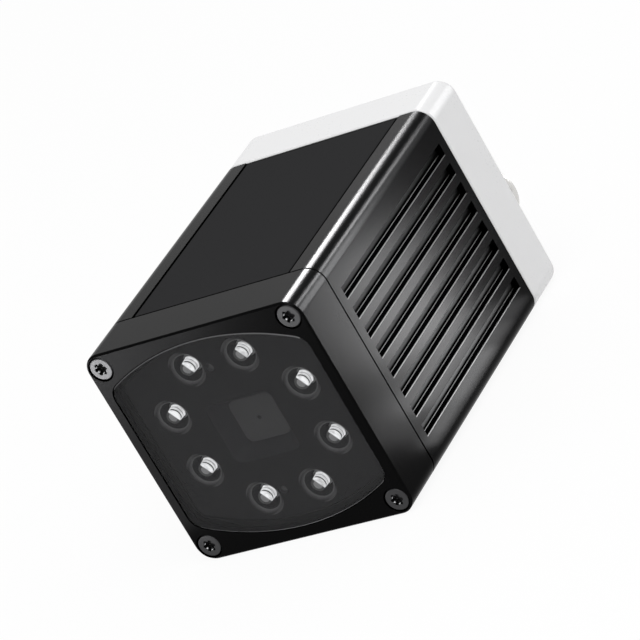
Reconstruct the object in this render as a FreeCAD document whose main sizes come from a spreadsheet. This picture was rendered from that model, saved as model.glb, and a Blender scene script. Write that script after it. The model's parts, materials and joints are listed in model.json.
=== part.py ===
import FreeCAD, Part
import math
import os
import re
import Sketcher

# Vision sensor. Each piece is drawn about the optical axis: X to the right as seen from the front,
# Y rearwards from the front face, Z up. The placement then puts the origin in the middle of the
# four mounting holes, on the underside. Lengths are in millimetres.

DIMENSIONS = [
    ("width", 45.0, "outer width of the section"),
    ("height", 43.0, "outer height of the section"),
    ("corner_radius", 3.2, "rounding of the long edges"),
    ("mount_station", 36.0, "front face to the middle of the mounting holes"),
    ("frame_depth", 10.2, "front frame, front to back"),
    ("frame_face", 3.6, "front frame, thickness of the face"),
    ("frame_wall", 3.0, "front frame, thickness of the walls"),
    ("frame_cavity_radius", 6.0, "front frame, inner corner rounding"),
    ("edge_chamfer", 0.3, "front frame, chamfer round the face"),
    ("inner_clearance", 0.4, "play round a piece that lies inside another"),
    ("window_side_margin", 2.1, "window, distance from the sides of the frame"),
    ("window_top_margin", 2.3, "window, distance from the top and bottom of the frame"),
    ("window_arc", 44.5, "window, radius of the bowed edges"),
    ("window_corner", 3.0, "window, corner rounding"),
    ("window_thickness", 1.8, "window, thickness"),
    ("window_chamfer", 0.15, "window, chamfer of the front edge"),
    ("window_gap", 0.12, "play round the window"),
    ("ledge_width", 1.0, "ledge that carries the window"),
    ("seal_thickness", 0.3, "window seal, thickness"),
    ("shield_thickness", 3.0, "light shield, thickness"),
    ("led_count", 8, "number of LEDs on the ring"),
    ("led_circle", 29.1, "circle on which the LEDs lie"),
    ("cup_mouth", 6.5, "LED cup, mouth diameter"),
    ("cup_throat", 5.2, "LED cup, diameter inside the lip"),
    ("cup_lip", 0.55, "LED cup, depth of the lip"),
    ("cup_floor", 4.5, "LED cup, floor diameter"),
    ("led_base_diameter", 3.5, "LED base, diameter"),
    ("led_base_height", 0.7, "LED base, height"),
    ("led_foot_diameter", 3.1, "LED lens, diameter at the foot"),
    ("led_nose_diameter", 2.4, "LED lens, diameter of the front disc"),
    ("led_lens_height", 2.3, "LED lens, height"),
    ("led_nose_rounding", 0.3, "LED lens, rounding of the front disc"),
    ("led_foot_height", 0.4, "LED lens, height of the straight foot"),
    ("aiming_spacing", 25.4, "aiming lights, distance apart"),
    ("aiming_offset", 1.2, "aiming lights, distance to the left of the middle"),
    ("aiming_diameter", 1.3, "aiming light, diameter"),
    ("aiming_height", 2.7, "aiming light, height"),
    ("aiming_rounding", 0.35, "aiming light, rounding of the nose"),
    ("aiming_clearance", 0.1, "play round an aiming light"),
    ("sight_mouth_width", 13.6, "sight recess, width at the front"),
    ("sight_mouth_height", 12.0, "sight recess, height at the front"),
    ("sight_floor_width", 9.0, "sight recess, width at the floor"),
    ("sight_floor_height", 8.3, "sight recess, height at the floor"),
    ("sight_corner", 1.4, "sight recess, corner rounding"),
    ("aperture_width", 10.6, "aperture plate, width"),
    ("aperture_height", 9.8, "aperture plate, height"),
    ("aperture_thickness", 0.6, "aperture plate, thickness"),
    ("aperture_hole", 0.8, "aperture plate, pinhole diameter"),
    ("board_thickness", 1.6, "thickness of every circuit board"),
    ("led_board_hole", 16.0, "LED board, hole for the optics"),
    ("carrier_rim_width", 2.0, "optics carrier, width of the rim"),
    ("tube_wall", 1.5, "lens tube, wall thickness"),
    ("tube_reach", 5.5, "lens tube, length behind the carrier"),
    ("barrel_diameter", 13.0, "lens barrel, outer diameter"),
    ("barrel_lead", 3.1, "lens barrel, distance of the front end before the back of the carrier"),
    ("barrel_length", 13.2, "lens barrel, length"),
    ("slide_clearance", 0.03, "radial play of sliding and turning fits"),
    ("barrel_bore", 9.0, "lens barrel, clear bore"),
    ("front_lens_diameter", 11.0, "front lens seat, diameter"),
    ("front_seat_depth", 2.8, "front lens seat, depth"),
    ("front_lens_edge", 1.2, "front lens, edge thickness"),
    ("front_lens_radius", 14.0, "front lens, radius of the curved face"),
    ("rear_lens_diameter", 10.0, "rear lens seat, diameter"),
    ("rear_seat_depth", 2.4, "rear lens seat, depth"),
    ("rear_lens_edge", 1.0, "rear lens, edge thickness"),
    ("rear_lens_radius", 13.0, "rear lens, radius of the curved face"),
    ("glass_clearance", 0.02, "play round a lens in its seat"),
    ("lens_ring_thickness", 0.6, "retaining ring, thickness"),
    ("lens_ring_width", 0.8, "retaining ring, width"),
    ("arm_setback", 7.8, "focus arm, distance behind the carrier"),
    ("arm_thickness", 2.0, "focus arm, thickness"),
    ("arm_height", 6.0, "focus arm, height"),
    ("arm_corner", 2.9, "focus arm, rounding of the ends"),
    ("arm_ring", 17.4, "focus arm, diameter round the barrel"),
    ("drive_offset", 13.2, "lead screw and guide pin, distance from the optical axis"),
    ("screw_diameter", 2.0, "lead screw, diameter"),
    ("shaft_diameter", 1.5, "motor shaft, diameter"),
    ("drive_reach", 12.7, "lead screw and guide pin, length behind the carrier"),
    ("pin_diameter", 2.0, "guide pin, diameter"),
    ("motor_diameter", 7.4, "focus motor, diameter"),
    ("motor_length", 6.0, "focus motor, length"),
    ("motor_boss_diameter", 3.2, "focus motor, bearing boss diameter"),
    ("motor_boss", 0.6, "focus motor, bearing boss height"),
    ("motor_floor", 0.5, "focus motor, end wall"),
    ("end_play", 0.1, "axial play of the lead screw"),
    ("board_side_gap", 1.6, "circuit boards, distance from the sides of the cavity"),
    ("board_top_gap", 4.0, "circuit boards, distance from the top and bottom of the cavity"),
    ("board_corner", 1.5, "circuit boards, corner rounding"),
    ("sensor_gap", 16.5, "sensor board, distance behind the carrier"),
    ("main_gap", 12.4, "main board, distance behind the sensor board"),
    ("power_setback", 0.3, "power board, distance from the rear of the housing"),
    ("spacer_inset", 2.4, "board spacers, distance from the edges of the boards"),
    ("spacer_diameter", 4.5, "board spacers, diameter"),
    ("stud_diameter", 2.5, "spacer stud and board screw, diameter"),
    ("stud_length", 4.0, "spacer stud, length"),
    ("stud_clearance", 0.05, "radial play of a stud in its hole"),
    ("stud_hole_depth", 6.0, "spacer, depth of the tapped end"),
    ("carrier_plate", 2.5, "optics carrier, thickness of the plate"),
    ("board_screw_head", 3.8, "board screw, head diameter"),
    ("board_screw_height", 1.5, "board screw, head height"),
    ("image_package", 11.0, "image sensor, side of the package"),
    ("image_height", 1.8, "image sensor, height"),
    ("image_glass", 8.5, "image sensor, side of the cover glass"),
    ("image_glass_thickness", 0.5, "image sensor, cover glass thickness"),
    ("processor_side", 14.0, "processor, side"),
    ("processor_height", 1.5, "processor, height"),
    ("memory_width", 6.0, "memory chip, width"),
    ("memory_length", 9.0, "memory chip, length"),
    ("memory_height", 1.0, "memory chip, height"),
    ("memory_spacing", 25.0, "memory chips, distance apart"),
    ("capacitor_diameter", 6.3, "capacitor, diameter"),
    ("capacitor_height", 7.7, "capacitor, height"),
    ("capacitor_chamfer", 0.4, "capacitor, chamfer of the top"),
    ("capacitor_spacing", 16.0, "capacitors, distance apart"),
    ("inductor_side", 7.0, "inductor, side"),
    ("inductor_height", 4.0, "inductor, height"),
    ("inductor_corner", 1.0, "inductor, corner rounding"),
    ("part_drop", 5.0, "capacitors and inductor, distance below the optical axis"),
    ("link_width", 20.0, "board link, width"),
    ("link_thickness", 2.5, "board link, thickness"),
    ("link_rise", 11.5, "board link, height over the optical axis"),
    ("flex_thickness", 0.3, "flexible strip, thickness"),
    ("flex_rise", 12.0, "LED strip, height over the optical axis"),
    ("led_flex_width", 12.0, "LED strip, width"),
    ("motor_flex_width", 3.0, "motor strip, width"),
    ("motor_flex_overlap", 2.0, "motor strip, length beside the motor"),
    ("flex_clearance", 0.2, "play round a strip in the optics carrier and beside the motor"),
    ("gasket_thickness", 0.3, "front and rear gasket, thickness"),
    ("gasket_inset", 0.25, "gasket edge, distance from the outer faces"),
    ("housing_length", 49.8, "main housing, length"),
    ("side_wall", 3.2, "main housing, thickness of the sides"),
    ("top_wall", 3.0, "main housing, thickness of the top"),
    ("bottom_wall", 6.0, "main housing, thickness of the bottom"),
    ("cavity_radius", 8.0, "housing cavity, corner rounding"),
    ("label_margin", 5.75, "label panel recess, distance from the sides"),
    ("label_recess", 0.8, "label panel recess, depth"),
    ("label_thickness", 0.6, "label panel, thickness"),
    ("label_gap", 0.12, "play round the label panel"),
    ("slot_count", 8, "cooling slots on each side"),
    ("slot_pitch", 4.023, "cooling slots, pitch"),
    ("slot_width", 2.17, "cooling slot, width"),
    ("slot_depth", 1.4, "cooling slot, depth"),
    ("slot_setback", 2.1, "cooling slot, distance from the ends of the housing"),
    ("slot_lip", 0.12, "cooling slot, chamfer of the lip"),
    ("slot_fillet", 0.35, "cooling slot, rounding of the floor corners"),
    ("mount_spacing_x", 25.0, "mounting holes, distance apart across"),
    ("mount_spacing_y", 25.0, "mounting holes, distance apart lengthwise"),
    ("mount_hole", 3.3, "mounting hole, diameter"),
    ("mount_depth", 5.0, "mounting hole, depth"),
    ("front_inset", 2.82, "front screws, distance from the outer faces"),
    ("rear_inset", 4.1, "rear screws, distance from the outer faces"),
    ("head_diameter", 4.4, "cap screw, head diameter"),
    ("head_height", 2.2, "cap screw, head height"),
    ("head_chamfer", 0.2, "cap screw, chamfer of the head"),
    ("head_sink", 0.1, "cap screw, depth of the head below the face"),
    ("head_clearance", 0.15, "radial play round a screw head"),
    ("shank_diameter", 2.5, "cap screw, shank diameter"),
    ("shank_clearance", 0.15, "radial play of a shank in a through hole"),
    ("tapped_clearance", 0.05, "radial play of a shank in a tapped hole"),
    ("tapped_depth", 8.0, "housing, depth of the tapped holes"),
    ("grip_length", 6.0, "cap screw, length in the housing"),
    ("socket_core", 1.7, "six-lobe socket, diameter of the core"),
    ("lobe_circle", 1.75, "six-lobe socket, circle of the lobes"),
    ("lobe_diameter", 0.62, "six-lobe socket, diameter of a lobe"),
    ("socket_depth", 1.2, "six-lobe socket, depth"),
    ("cover_depth", 10.8, "rear cover, front to back"),
    ("cover_face", 3.0, "rear cover, thickness of the rear wall"),
    ("cover_fillet", 1.1, "rear cover, rounding of the rear edge"),
    ("connector_margin", 12.0, "connectors, distance from the sides"),
    ("connector_level", 14.4, "connectors, height over the underside"),
    ("connector_thread", 12.0, "connector, thread diameter"),
    ("connector_bore", 8.8, "connector, bore of the shell"),
    ("connector_reach", 10.6, "connector, length behind the rear cover"),
    ("connector_neck", 8.0, "connector, length inside the rear face"),
    ("neck_clearance", 0.1, "radial play of the connector in the cover"),
    ("connector_chamfer", 0.6, "connector, chamfer of the end"),
    ("flange_diameter", 15.2, "connector flange, diameter"),
    ("flange_thickness", 1.8, "connector flange, thickness"),
    ("ring_thickness", 0.5, "connector sealing ring, thickness"),
    ("ring_inset", 0.2, "connector sealing ring, inset from the flange edge"),
    ("nut_flats", 14.0, "connector nut, width across flats"),
    ("nut_thickness", 2.4, "connector nut, thickness"),
    ("insert_inner", 8.6, "connector insert, length inside the rear face"),
    ("plug_insert_reach", 3.0, "plug insert, length behind the rear face"),
    ("socket_insert_reach", 9.2, "socket insert, length behind the rear face"),
    ("key_width", 1.0, "connector key, width"),
    ("key_height", 0.8, "connector key, height"),
    ("key_clearance", 0.1, "play round a connector key"),
    ("plug_contacts", 7, "plug contacts on the circle, besides the middle one"),
    ("plug_circle", 5.5, "plug contacts, circle"),
    ("plug_contact_diameter", 0.8, "plug contact, diameter"),
    ("plug_contact_reach", 9.0, "plug contact, length behind the rear face"),
    ("socket_contacts", 4, "socket contacts"),
    ("socket_circle", 5.7, "socket contacts, circle"),
    ("socket_contact_diameter", 1.1, "socket contact, diameter"),
    ("socket_contact_reach", 8.0, "socket contact, length behind the rear face"),
    ("contact_clearance", 0.03, "radial play of a contact in the insert"),
    ("pipe_count", 5, "status light pipes"),
    ("pipe_spacing", 5.0, "status light pipes, distance apart"),
    ("pipe_margin", 10.5, "status light pipes, distance from the top"),
    ("pipe_diameter", 2.0, "status light pipe, diameter"),
    ("pipe_head_diameter", 3.2, "status light pipe, head diameter"),
    ("pipe_head", 1.5, "status light pipe, head height"),
    ("pipe_proud", 0.15, "status light pipe, height over the rear face"),
    ("pipe_clearance", 0.03, "radial play of a light pipe"),
]

DOC = FreeCAD.newDocument("vision_sensor")
SHEET = DOC.addObject("Spreadsheet::Sheet", "dims")
for row, (alias, value, meaning) in enumerate(DIMENSIONS, start=1):
    SHEET.set(f"A{row}", meaning)
    SHEET.set(f"B{row}", str(value))
    SHEET.setAlias(f"B{row}", alias)
DOC.recompute()
ALIASES = {alias for alias, _, _ in DIMENSIONS}

# Stations along the optical axis, measured from the front face.
SHIELD_FRONT = "(window_thickness + seal_thickness)"
SHIELD_REAR = f"({SHIELD_FRONT} + shield_thickness)"
LED_BOARD_REAR = f"({SHIELD_REAR} + board_thickness)"
HOUSING_FRONT = "(frame_depth + gasket_thickness)"
HOUSING_REAR = f"({HOUSING_FRONT} + housing_length)"
COVER_FRONT = f"({HOUSING_REAR} + gasket_thickness)"
COVER_INNER = f"({COVER_FRONT} + cover_depth - cover_face)"
REAR_FACE = f"({COVER_FRONT} + cover_depth)"
CARRIER_FRONT = f"({HOUSING_FRONT} - carrier_plate)"
BARREL_FRONT = f"({HOUSING_FRONT} - barrel_lead)"
TUBE_END = f"({HOUSING_FRONT} + tube_reach)"
ARM_FRONT = f"({HOUSING_FRONT} + arm_setback)"
DRIVE_END = f"({HOUSING_FRONT} + drive_reach)"
SENSOR_FRONT = f"({HOUSING_FRONT} + sensor_gap)"
SENSOR_REAR = f"({SENSOR_FRONT} + board_thickness)"
MAIN_FRONT = f"({SENSOR_REAR} + main_gap)"
MAIN_REAR = f"({MAIN_FRONT} + board_thickness)"
POWER_REAR = f"({HOUSING_REAR} - power_setback)"
POWER_FRONT = f"({POWER_REAR} - board_thickness)"


def formula(text):
    """The text with every dimension written as a cell of the sheet."""
    def cell(match):
        word = match.group()
        return f"dims.{word}" if word in ALIASES else word

    return re.sub(r"[a-z_]+", cell, text)


def number(text):
    """The present value of a formula."""
    return float(SHEET.evalExpression(formula(text)))


def bind(thing, name, text):
    """Tie a property or constraint of a document object to the sheet."""
    thing.setExpression(name, formula(text))


class Sketch:
    """A fully dimensioned sketch whose sizes follow the sheet."""

    def __init__(self, piece, plane, shift_x, shift_y, lift):
        self.item = piece.body.newObject("Sketcher::SketchObject", f"{piece.body.Name}_sketch")
        self.item.AttachmentSupport = [(piece.origin[plane], "")]
        self.item.MapMode = "FlatFace"
        bind(self.item, "AttachmentOffset.Base.x", shift_x)
        bind(self.item, "AttachmentOffset.Base.y", shift_y)
        bind(self.item, "AttachmentOffset.Base.z", lift)

    def rule(self, kind, *parts):
        return self.item.addConstraint(Sketcher.Constraint(kind, *parts))

    def measure(self, kind, *parts, size):
        index = self.rule(kind, *parts, number(size))
        bind(self.item, f"Constraints[{index}]", size)

    def place(self, geometry, point, x, y):
        """Hold a point of some geometry at (x, y)."""
        self.measure("DistanceX", -1, 1, geometry, point, size=x)
        self.measure("DistanceY", -1, 1, geometry, point, size=y)

    def circle(self, diameter, x="0", y="0"):
        centre = FreeCAD.Vector(number(x), number(y), 0)
        index = self.item.addGeometry(Part.Circle(centre, FreeCAD.Vector(0, 0, 1), number(diameter) / 2))
        self.measure("Diameter", index, size=diameter)
        self.place(index, 3, x, y)
        return self

    def four_circles(self, diameter, half_x, half_y):
        for side_x in ("", "-"):
            for side_y in ("", "-"):
                self.circle(diameter, f"{side_x}({half_x})", f"{side_y}({half_y})")
        return self

    def outline(self, points):
        """A closed outline. A point is (x, y), or (x, y, r) where an arc of radius r, turning left if r is
        written with + and right if with -, leads on to the next point."""
        spots = [FreeCAD.Vector(number(p[0]), number(p[1]), 0) for p in points]
        ends = []
        for i, here in enumerate(spots):
            there = spots[(i + 1) % len(spots)]
            if len(points[i]) == 2:
                index = self.item.addGeometry(Part.LineSegment(here, there))
                ends.append((index, 1, 2))
                continue
            turn, radius = points[i][2][0], points[i][2][1:]
            first, last = (here, there) if turn == "+" else (there, here)
            chord = last - first
            inward = FreeCAD.Vector(-chord.y, chord.x, 0).normalize()
            rise = math.sqrt(number(radius) ** 2 - (chord.Length / 2) ** 2)
            centre = (first + last) * 0.5 + inward * rise
            start = math.atan2(first.y - centre.y, first.x - centre.x)
            stop = math.atan2(last.y - centre.y, last.x - centre.x)
            round_line = Part.Circle(centre, FreeCAD.Vector(0, 0, 1), number(radius))
            index = self.item.addGeometry(Part.ArcOfCircle(round_line, start, stop))
            self.measure("Radius", index, size=radius)
            ends.append((index, 1, 2) if turn == "+" else (index, 2, 1))
        for i, (index, start, stop) in enumerate(ends):
            following = ends[(i + 1) % len(ends)]
            self.rule("Coincident", index, stop, following[0], following[1])
            self.place(index, start, points[i][0], points[i][1])
        return self

    def rectangle(self, width, height, x="0", y="0"):
        left, right = f"{x} - ({width}) / 2", f"{x} + ({width}) / 2"
        low, high = f"{y} - ({height}) / 2", f"{y} + ({height}) / 2"
        return self.outline([(left, low), (right, low), (right, high), (left, high)])

    def rounded(self, width, height, radius, x="0", y="0"):
        left, right = f"{x} - ({width}) / 2", f"{x} + ({width}) / 2"
        low, high = f"{y} - ({height}) / 2", f"{y} + ({height}) / 2"
        turn = f"+({radius})"
        return self.outline([
            (f"{left} + ({radius})", low),
            (f"{right} - ({radius})", low, turn),
            (right, f"{low} + ({radius})"),
            (right, f"{high} - ({radius})", turn),
            (f"{right} - ({radius})", high),
            (f"{left} + ({radius})", high, turn),
            (left, f"{high} - ({radius})"),
            (left, f"{low} + ({radius})", turn),
        ])

    def window(self, inset="0"):
        """The outline of the window with straight sides and bowed top and bottom, drawn in all round."""
        side = f"(width / 2 - window_side_margin - ({inset}))"
        bow = f"(window_arc - ({inset}))"
        corner = f"(window_corner - ({inset}))"
        drop = "(window_arc - height / 2 + window_top_margin)"
        knee = f"(sqrt(({bow} - {corner})^2 - ({side} - {corner})^2) - {drop})"
        share = f"({bow} / ({bow} - {corner}))"
        shoulder_x = f"(({side} - {corner}) * {share})"
        shoulder_z = f"(({knee} + {drop}) * {share} - {drop})"
        turn, sweep = f"+{corner}", f"+{bow}"
        return self.outline([
            (side, f"-{knee}"),
            (side, knee, turn),
            (shoulder_x, shoulder_z, sweep),
            (f"-{shoulder_x}", shoulder_z, turn),
            (f"-{side}", knee),
            (f"-{side}", f"-{knee}", turn),
            (f"-{shoulder_x}", f"-{shoulder_z}", sweep),
            (shoulder_x, f"-{shoulder_z}", turn),
        ])


class Piece:
    """One sub-part, as a body of its own."""

    def __init__(self, name):
        self.body = DOC.addObject("PartDesign::Body", name)
        self.body.Label = name
        self.origin = {feature.Role: feature for feature in self.body.Origin.OriginFeatures}
        bind(self.body, "Placement.Base.y", "-mount_station")
        bind(self.body, "Placement.Base.z", "height / 2")

    def section(self, station):
        """A sketch across the optical axis."""
        return Sketch(self, "XZ_Plane", "0", "0", f"-({station})")

    def plan(self, level):
        """A level sketch."""
        return Sketch(self, "XY_Plane", "0", "0", level)

    def profile(self, x="0", z="0"):
        """A sketch of (radius, station) for a piece turned about a line parallel to the optical axis."""
        return Sketch(self, "XY_Plane", x, "0", z)

    def feature(self, kind, **settings):
        item = self.body.newObject(f"PartDesign::{kind}", f"{self.body.Name}_{kind}")
        for name, value in settings.items():
            setattr(item, name, value)
        self.body.Tip = item
        return item

    def pad(self, sketch, length, rearwards=True):
        item = self.feature("Pad", Profile=sketch.item, Reversed=rearwards)
        bind(item, "Length", length)
        return item

    def pocket(self, sketch, depth, turned_round=False):
        item = self.feature("Pocket", Profile=sketch.item, Reversed=turned_round)
        bind(item, "Length", depth)
        return item

    def turn(self, sketch, kind="Revolution"):
        """Turn a profile about its own upright axis."""
        axis = (sketch.item, ["V_Axis"])
        return self.feature(kind, Profile=sketch.item, ReferenceAxis=axis, Angle=360)

    def edges(self, test):
        """Names of the edges of the piece so far that pass a test."""
        DOC.recompute()
        names = [f"Edge{i}" for i, edge in enumerate(self.body.Tip.Shape.Edges, start=1) if test(edge)]
        return (self.body.Tip, names)

    def edges_at(self, station):
        level = number(station)
        return self.edges(lambda edge: max(abs(v.Point.y - level) for v in edge.Vertexes) < 1e-6)

    def chamfer(self, edges, size):
        bind(self.feature("Chamfer", Base=edges), "Size", size)

    def fillet(self, edges, radius):
        bind(self.feature("Fillet", Base=edges), "Radius", radius)

    def repeat(self, kind, originals, **settings):
        """Repeat some features, or the whole piece if none are given."""
        DOC.recompute()
        mode = "Features" if originals else "Whole shape"
        return self.feature(kind, Originals=list(originals), TransformMode=mode, **settings)

    def mirror(self, plane, originals=()):
        return self.repeat("Mirrored", originals, MirrorPlane=(self.origin[plane], [""]))

    def row(self, axis, length, count, originals=()):
        item = self.repeat("LinearPattern", originals, Direction=(self.origin[axis], [""]))
        bind(item, "Length", length)
        bind(item, "Occurrences", count)
        return item

    def ring(self, count, originals=()):
        """Repeat round the optical axis."""
        item = self.repeat("PolarPattern", originals, Axis=(self.origin["Y_Axis"], [""]), Angle=360)
        bind(item, "Occurrences", count)
        return item


PIECES = []


def piece(name):
    PIECES.append(Piece(name))
    return PIECES[-1]


def turned(name, points, x="0", z="0"):
    item = piece(name)
    item.turn(item.profile(x, z).outline(points))
    return item


def plate(name, station, thickness, width, height, corner=None, x="0", z="0"):
    item = piece(name)
    sketch = item.section(station)
    if corner:
        sketch.rounded(width, height, corner, x, z)
    else:
        sketch.rectangle(width, height, x, z)
    item.pad(sketch, thickness)
    return item


FRAME_CAVITY = ("width - 2 * frame_wall", "height - 2 * frame_wall", "frame_cavity_radius")
INSIDE_FRAME = tuple(f"{side} - 2 * inner_clearance" for side in FRAME_CAVITY[:2]) + (
    "frame_cavity_radius - inner_clearance",)
CAVITY_WIDTH = "(width - 2 * side_wall)"
CAVITY_HEIGHT = "(height - top_wall - bottom_wall)"
CAVITY_RISE = "((bottom_wall - top_wall) / 2)"
HOUSING_CAVITY = (CAVITY_WIDTH, CAVITY_HEIGHT, "cavity_radius", "0", CAVITY_RISE)
BOARD_WIDTH = f"({CAVITY_WIDTH} - 2 * board_side_gap)"
BOARD_HEIGHT = f"({CAVITY_HEIGHT} - 2 * board_top_gap)"
LABEL_WIDTH = "(width - 2 * label_margin)"
FRONT_SCREWS = ("width / 2 - front_inset", "height / 2 - front_inset")
REAR_SCREWS = ("width / 2 - rear_inset", "height / 2 - rear_inset")
SECTION = ("width", "height", "corner_radius")
HEAD_WELL = ("head_diameter + 2 * head_clearance", "head_height + head_sink")
SHANK_HOLE = "shank_diameter + 2 * shank_clearance"
TAPPED_HOLE = "shank_diameter + 2 * tapped_clearance"


# Front frame: collar and bezel in one piece, with a stepped opening for the window.
frame = piece("front_frame")
frame.pad(frame.section("0").rounded(*SECTION), "frame_depth")
frame.chamfer(frame.edges_at("0"), "edge_chamfer")
frame.pocket(frame.section("0").window("-window_gap"), SHIELD_FRONT)
frame.pocket(frame.section("0").window("ledge_width"), "frame_face")
frame.pocket(frame.section("frame_face").rounded(*FRAME_CAVITY), "frame_depth - frame_face")
frame.pocket(frame.section("0").four_circles(HEAD_WELL[0], *FRONT_SCREWS), HEAD_WELL[1])
frame.pocket(frame.section("0").four_circles(SHANK_HOLE, *FRONT_SCREWS), "frame_depth")

window = piece("front_window")
window.pad(window.section("0").window(), "window_thickness")
window.chamfer(window.edges_at("0"), "window_chamfer")

seal = piece("window_seal")
seal.pad(seal.section("window_thickness").window().window("ledge_width"), "seal_thickness")

# Light shield: a step behind the ledge holds it, the LED cups flare towards the window.
shield = piece("light_shield")
shield.pad(shield.section(SHIELD_FRONT).window("ledge_width + window_gap"), "shield_thickness")
shield.pad(shield.section("frame_face").rounded(*INSIDE_FRAME), f"{SHIELD_REAR} - frame_face")
mouth = shield.section(SHIELD_FRONT).rounded("sight_mouth_width", "sight_mouth_height", "sight_corner")
floor = shield.section(SHIELD_REAR).rounded("sight_floor_width", "sight_floor_height", "sight_corner")
shield.feature("SubtractiveLoft", Profile=mouth.item, Sections=[floor.item], Ruled=True)
LED_X = "(led_circle / 2 * cos(180 / led_count))"
LED_Z = "(led_circle / 2 * sin(180 / led_count))"
cup_profile = shield.profile(LED_X, LED_Z).outline([
    ("0", SHIELD_FRONT),
    ("cup_mouth / 2", SHIELD_FRONT),
    ("cup_throat / 2", f"{SHIELD_FRONT} + cup_lip"),
    ("cup_floor / 2", SHIELD_REAR),
    ("0", SHIELD_REAR),
])
cup = shield.turn(cup_profile, "Groove")
shield.ring("led_count", [cup])
aiming_holes = shield.section(SHIELD_FRONT)
for side in ("", "-"):
    aiming_holes.circle("aiming_diameter + 2 * aiming_clearance", "-aiming_offset", f"{side}aiming_spacing / 2")
shield.pocket(aiming_holes, "shield_thickness")

LED_BASE_FRONT = f"({SHIELD_REAR} - led_base_height)"
LED_NOSE = f"({LED_BASE_FRONT} - led_lens_height)"
bases = turned("led_bases", [
    ("0", LED_BASE_FRONT),
    ("led_base_diameter / 2", LED_BASE_FRONT),
    ("led_base_diameter / 2", SHIELD_REAR),
    ("0", SHIELD_REAR),
], LED_X, LED_Z)
bases.ring("led_count")

lenses = turned("led_lenses", [
    ("0", LED_NOSE),
    ("led_nose_diameter / 2 - led_nose_rounding", LED_NOSE, "+led_nose_rounding"),
    ("led_nose_diameter / 2", f"{LED_NOSE} + led_nose_rounding"),
    ("led_foot_diameter / 2", f"{LED_BASE_FRONT} - led_foot_height"),
    ("led_foot_diameter / 2", LED_BASE_FRONT),
    ("0", LED_BASE_FRONT),
], LED_X, LED_Z)
lenses.ring("led_count")

AIMING_NOSE = f"({SHIELD_REAR} - aiming_height)"
aiming = turned("aiming_lights", [
    ("0", AIMING_NOSE),
    ("aiming_diameter / 2 - aiming_rounding", AIMING_NOSE, "+aiming_rounding"),
    ("aiming_diameter / 2", f"{AIMING_NOSE} + aiming_rounding"),
    ("aiming_diameter / 2", SHIELD_REAR),
    ("0", SHIELD_REAR),
], "-aiming_offset", "aiming_spacing / 2")
aiming.mirror("XY_Plane")

led_board = plate("led_board", SHIELD_REAR, "board_thickness", *INSIDE_FRAME)
led_board.pocket(led_board.section(SHIELD_REAR).circle("led_board_hole"), "board_thickness")

aperture = plate("aperture_plate", SHIELD_REAR, "aperture_thickness",
                 "aperture_width", "aperture_height", "sight_corner")
aperture.pocket(aperture.section(SHIELD_REAR).circle("aperture_hole"), "aperture_thickness")

# Optics carrier: a plate seated on the front of the housing, with the tube in which the barrel slides.
carrier = plate("optics_carrier", CARRIER_FRONT, "carrier_plate", *INSIDE_FRAME)
rim = carrier.section(LED_BOARD_REAR).rounded(*INSIDE_FRAME)
rim.rounded(*(f"{side} - 2 * carrier_rim_width" for side in INSIDE_FRAME[:2]),
            "frame_cavity_radius - inner_clearance - carrier_rim_width")
carrier.pad(rim, f"{CARRIER_FRONT} - {LED_BOARD_REAR}")
carrier.pad(carrier.section(CARRIER_FRONT).circle("barrel_diameter + 2 * slide_clearance + 2 * tube_wall"),
            f"{TUBE_END} - {CARRIER_FRONT}")
carrier.pocket(carrier.section(CARRIER_FRONT).circle("barrel_diameter + 2 * slide_clearance"),
               f"{TUBE_END} - {CARRIER_FRONT}")
carrier.pocket(carrier.section(CARRIER_FRONT).circle("pin_diameter + 2 * slide_clearance", "-drive_offset"),
               "carrier_plate")
carrier.pocket(carrier.section(CARRIER_FRONT).rectangle(
    "led_flex_width + 2 * flex_clearance", "flex_thickness + 2 * flex_clearance", "0", "flex_rise"),
    "carrier_plate")
STUD_HOLE = "stud_diameter + 2 * stud_clearance"
SPACER_X = f"({BOARD_WIDTH} / 2 - spacer_inset)"
SPACER_SPAN = f"({BOARD_HEIGHT} - 2 * spacer_inset)"
SPACER_LOW = f"({CAVITY_RISE} - {SPACER_SPAN} / 2)"
SPACER_HIGH = f"({CAVITY_RISE} + {SPACER_SPAN} / 2)"


def stud_holes(item, station, depth):
    sketch = item.section(station)
    for side in ("", "-"):
        for level in (SPACER_LOW, SPACER_HIGH):
            sketch.circle(STUD_HOLE, f"{side}{SPACER_X}", level)
    item.pocket(sketch, depth)


stud_holes(carrier, CARRIER_FRONT, "carrier_plate")

# Lens barrel with its two lenses, carried by the focus arm.
BARREL_REAR = f"({BARREL_FRONT} + barrel_length)"
FRONT_SEAT = f"({BARREL_FRONT} + front_seat_depth)"
REAR_SEAT = f"({BARREL_REAR} - rear_seat_depth)"
turned("lens_barrel", [
    ("front_lens_diameter / 2", BARREL_FRONT),
    ("barrel_diameter / 2", BARREL_FRONT),
    ("barrel_diameter / 2", BARREL_REAR),
    ("rear_lens_diameter / 2", BARREL_REAR),
    ("rear_lens_diameter / 2", REAR_SEAT),
    ("barrel_bore / 2", REAR_SEAT),
    ("barrel_bore / 2", FRONT_SEAT),
    ("front_lens_diameter / 2", FRONT_SEAT),
])


def bulge(radius, half):
    """How far a curved lens face stands out in the middle."""
    return f"({radius} - sqrt(({radius})^2 - ({half})^2))"


FRONT_GLASS = "(front_lens_diameter / 2 - glass_clearance)"
front_crown = f"({FRONT_SEAT} - front_lens_edge)"
turned("front_lens", [
    ("0", f"{front_crown} - {bulge('front_lens_radius', FRONT_GLASS)}", "+front_lens_radius"),
    (FRONT_GLASS, front_crown),
    (FRONT_GLASS, FRONT_SEAT),
    ("0", FRONT_SEAT),
])

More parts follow.
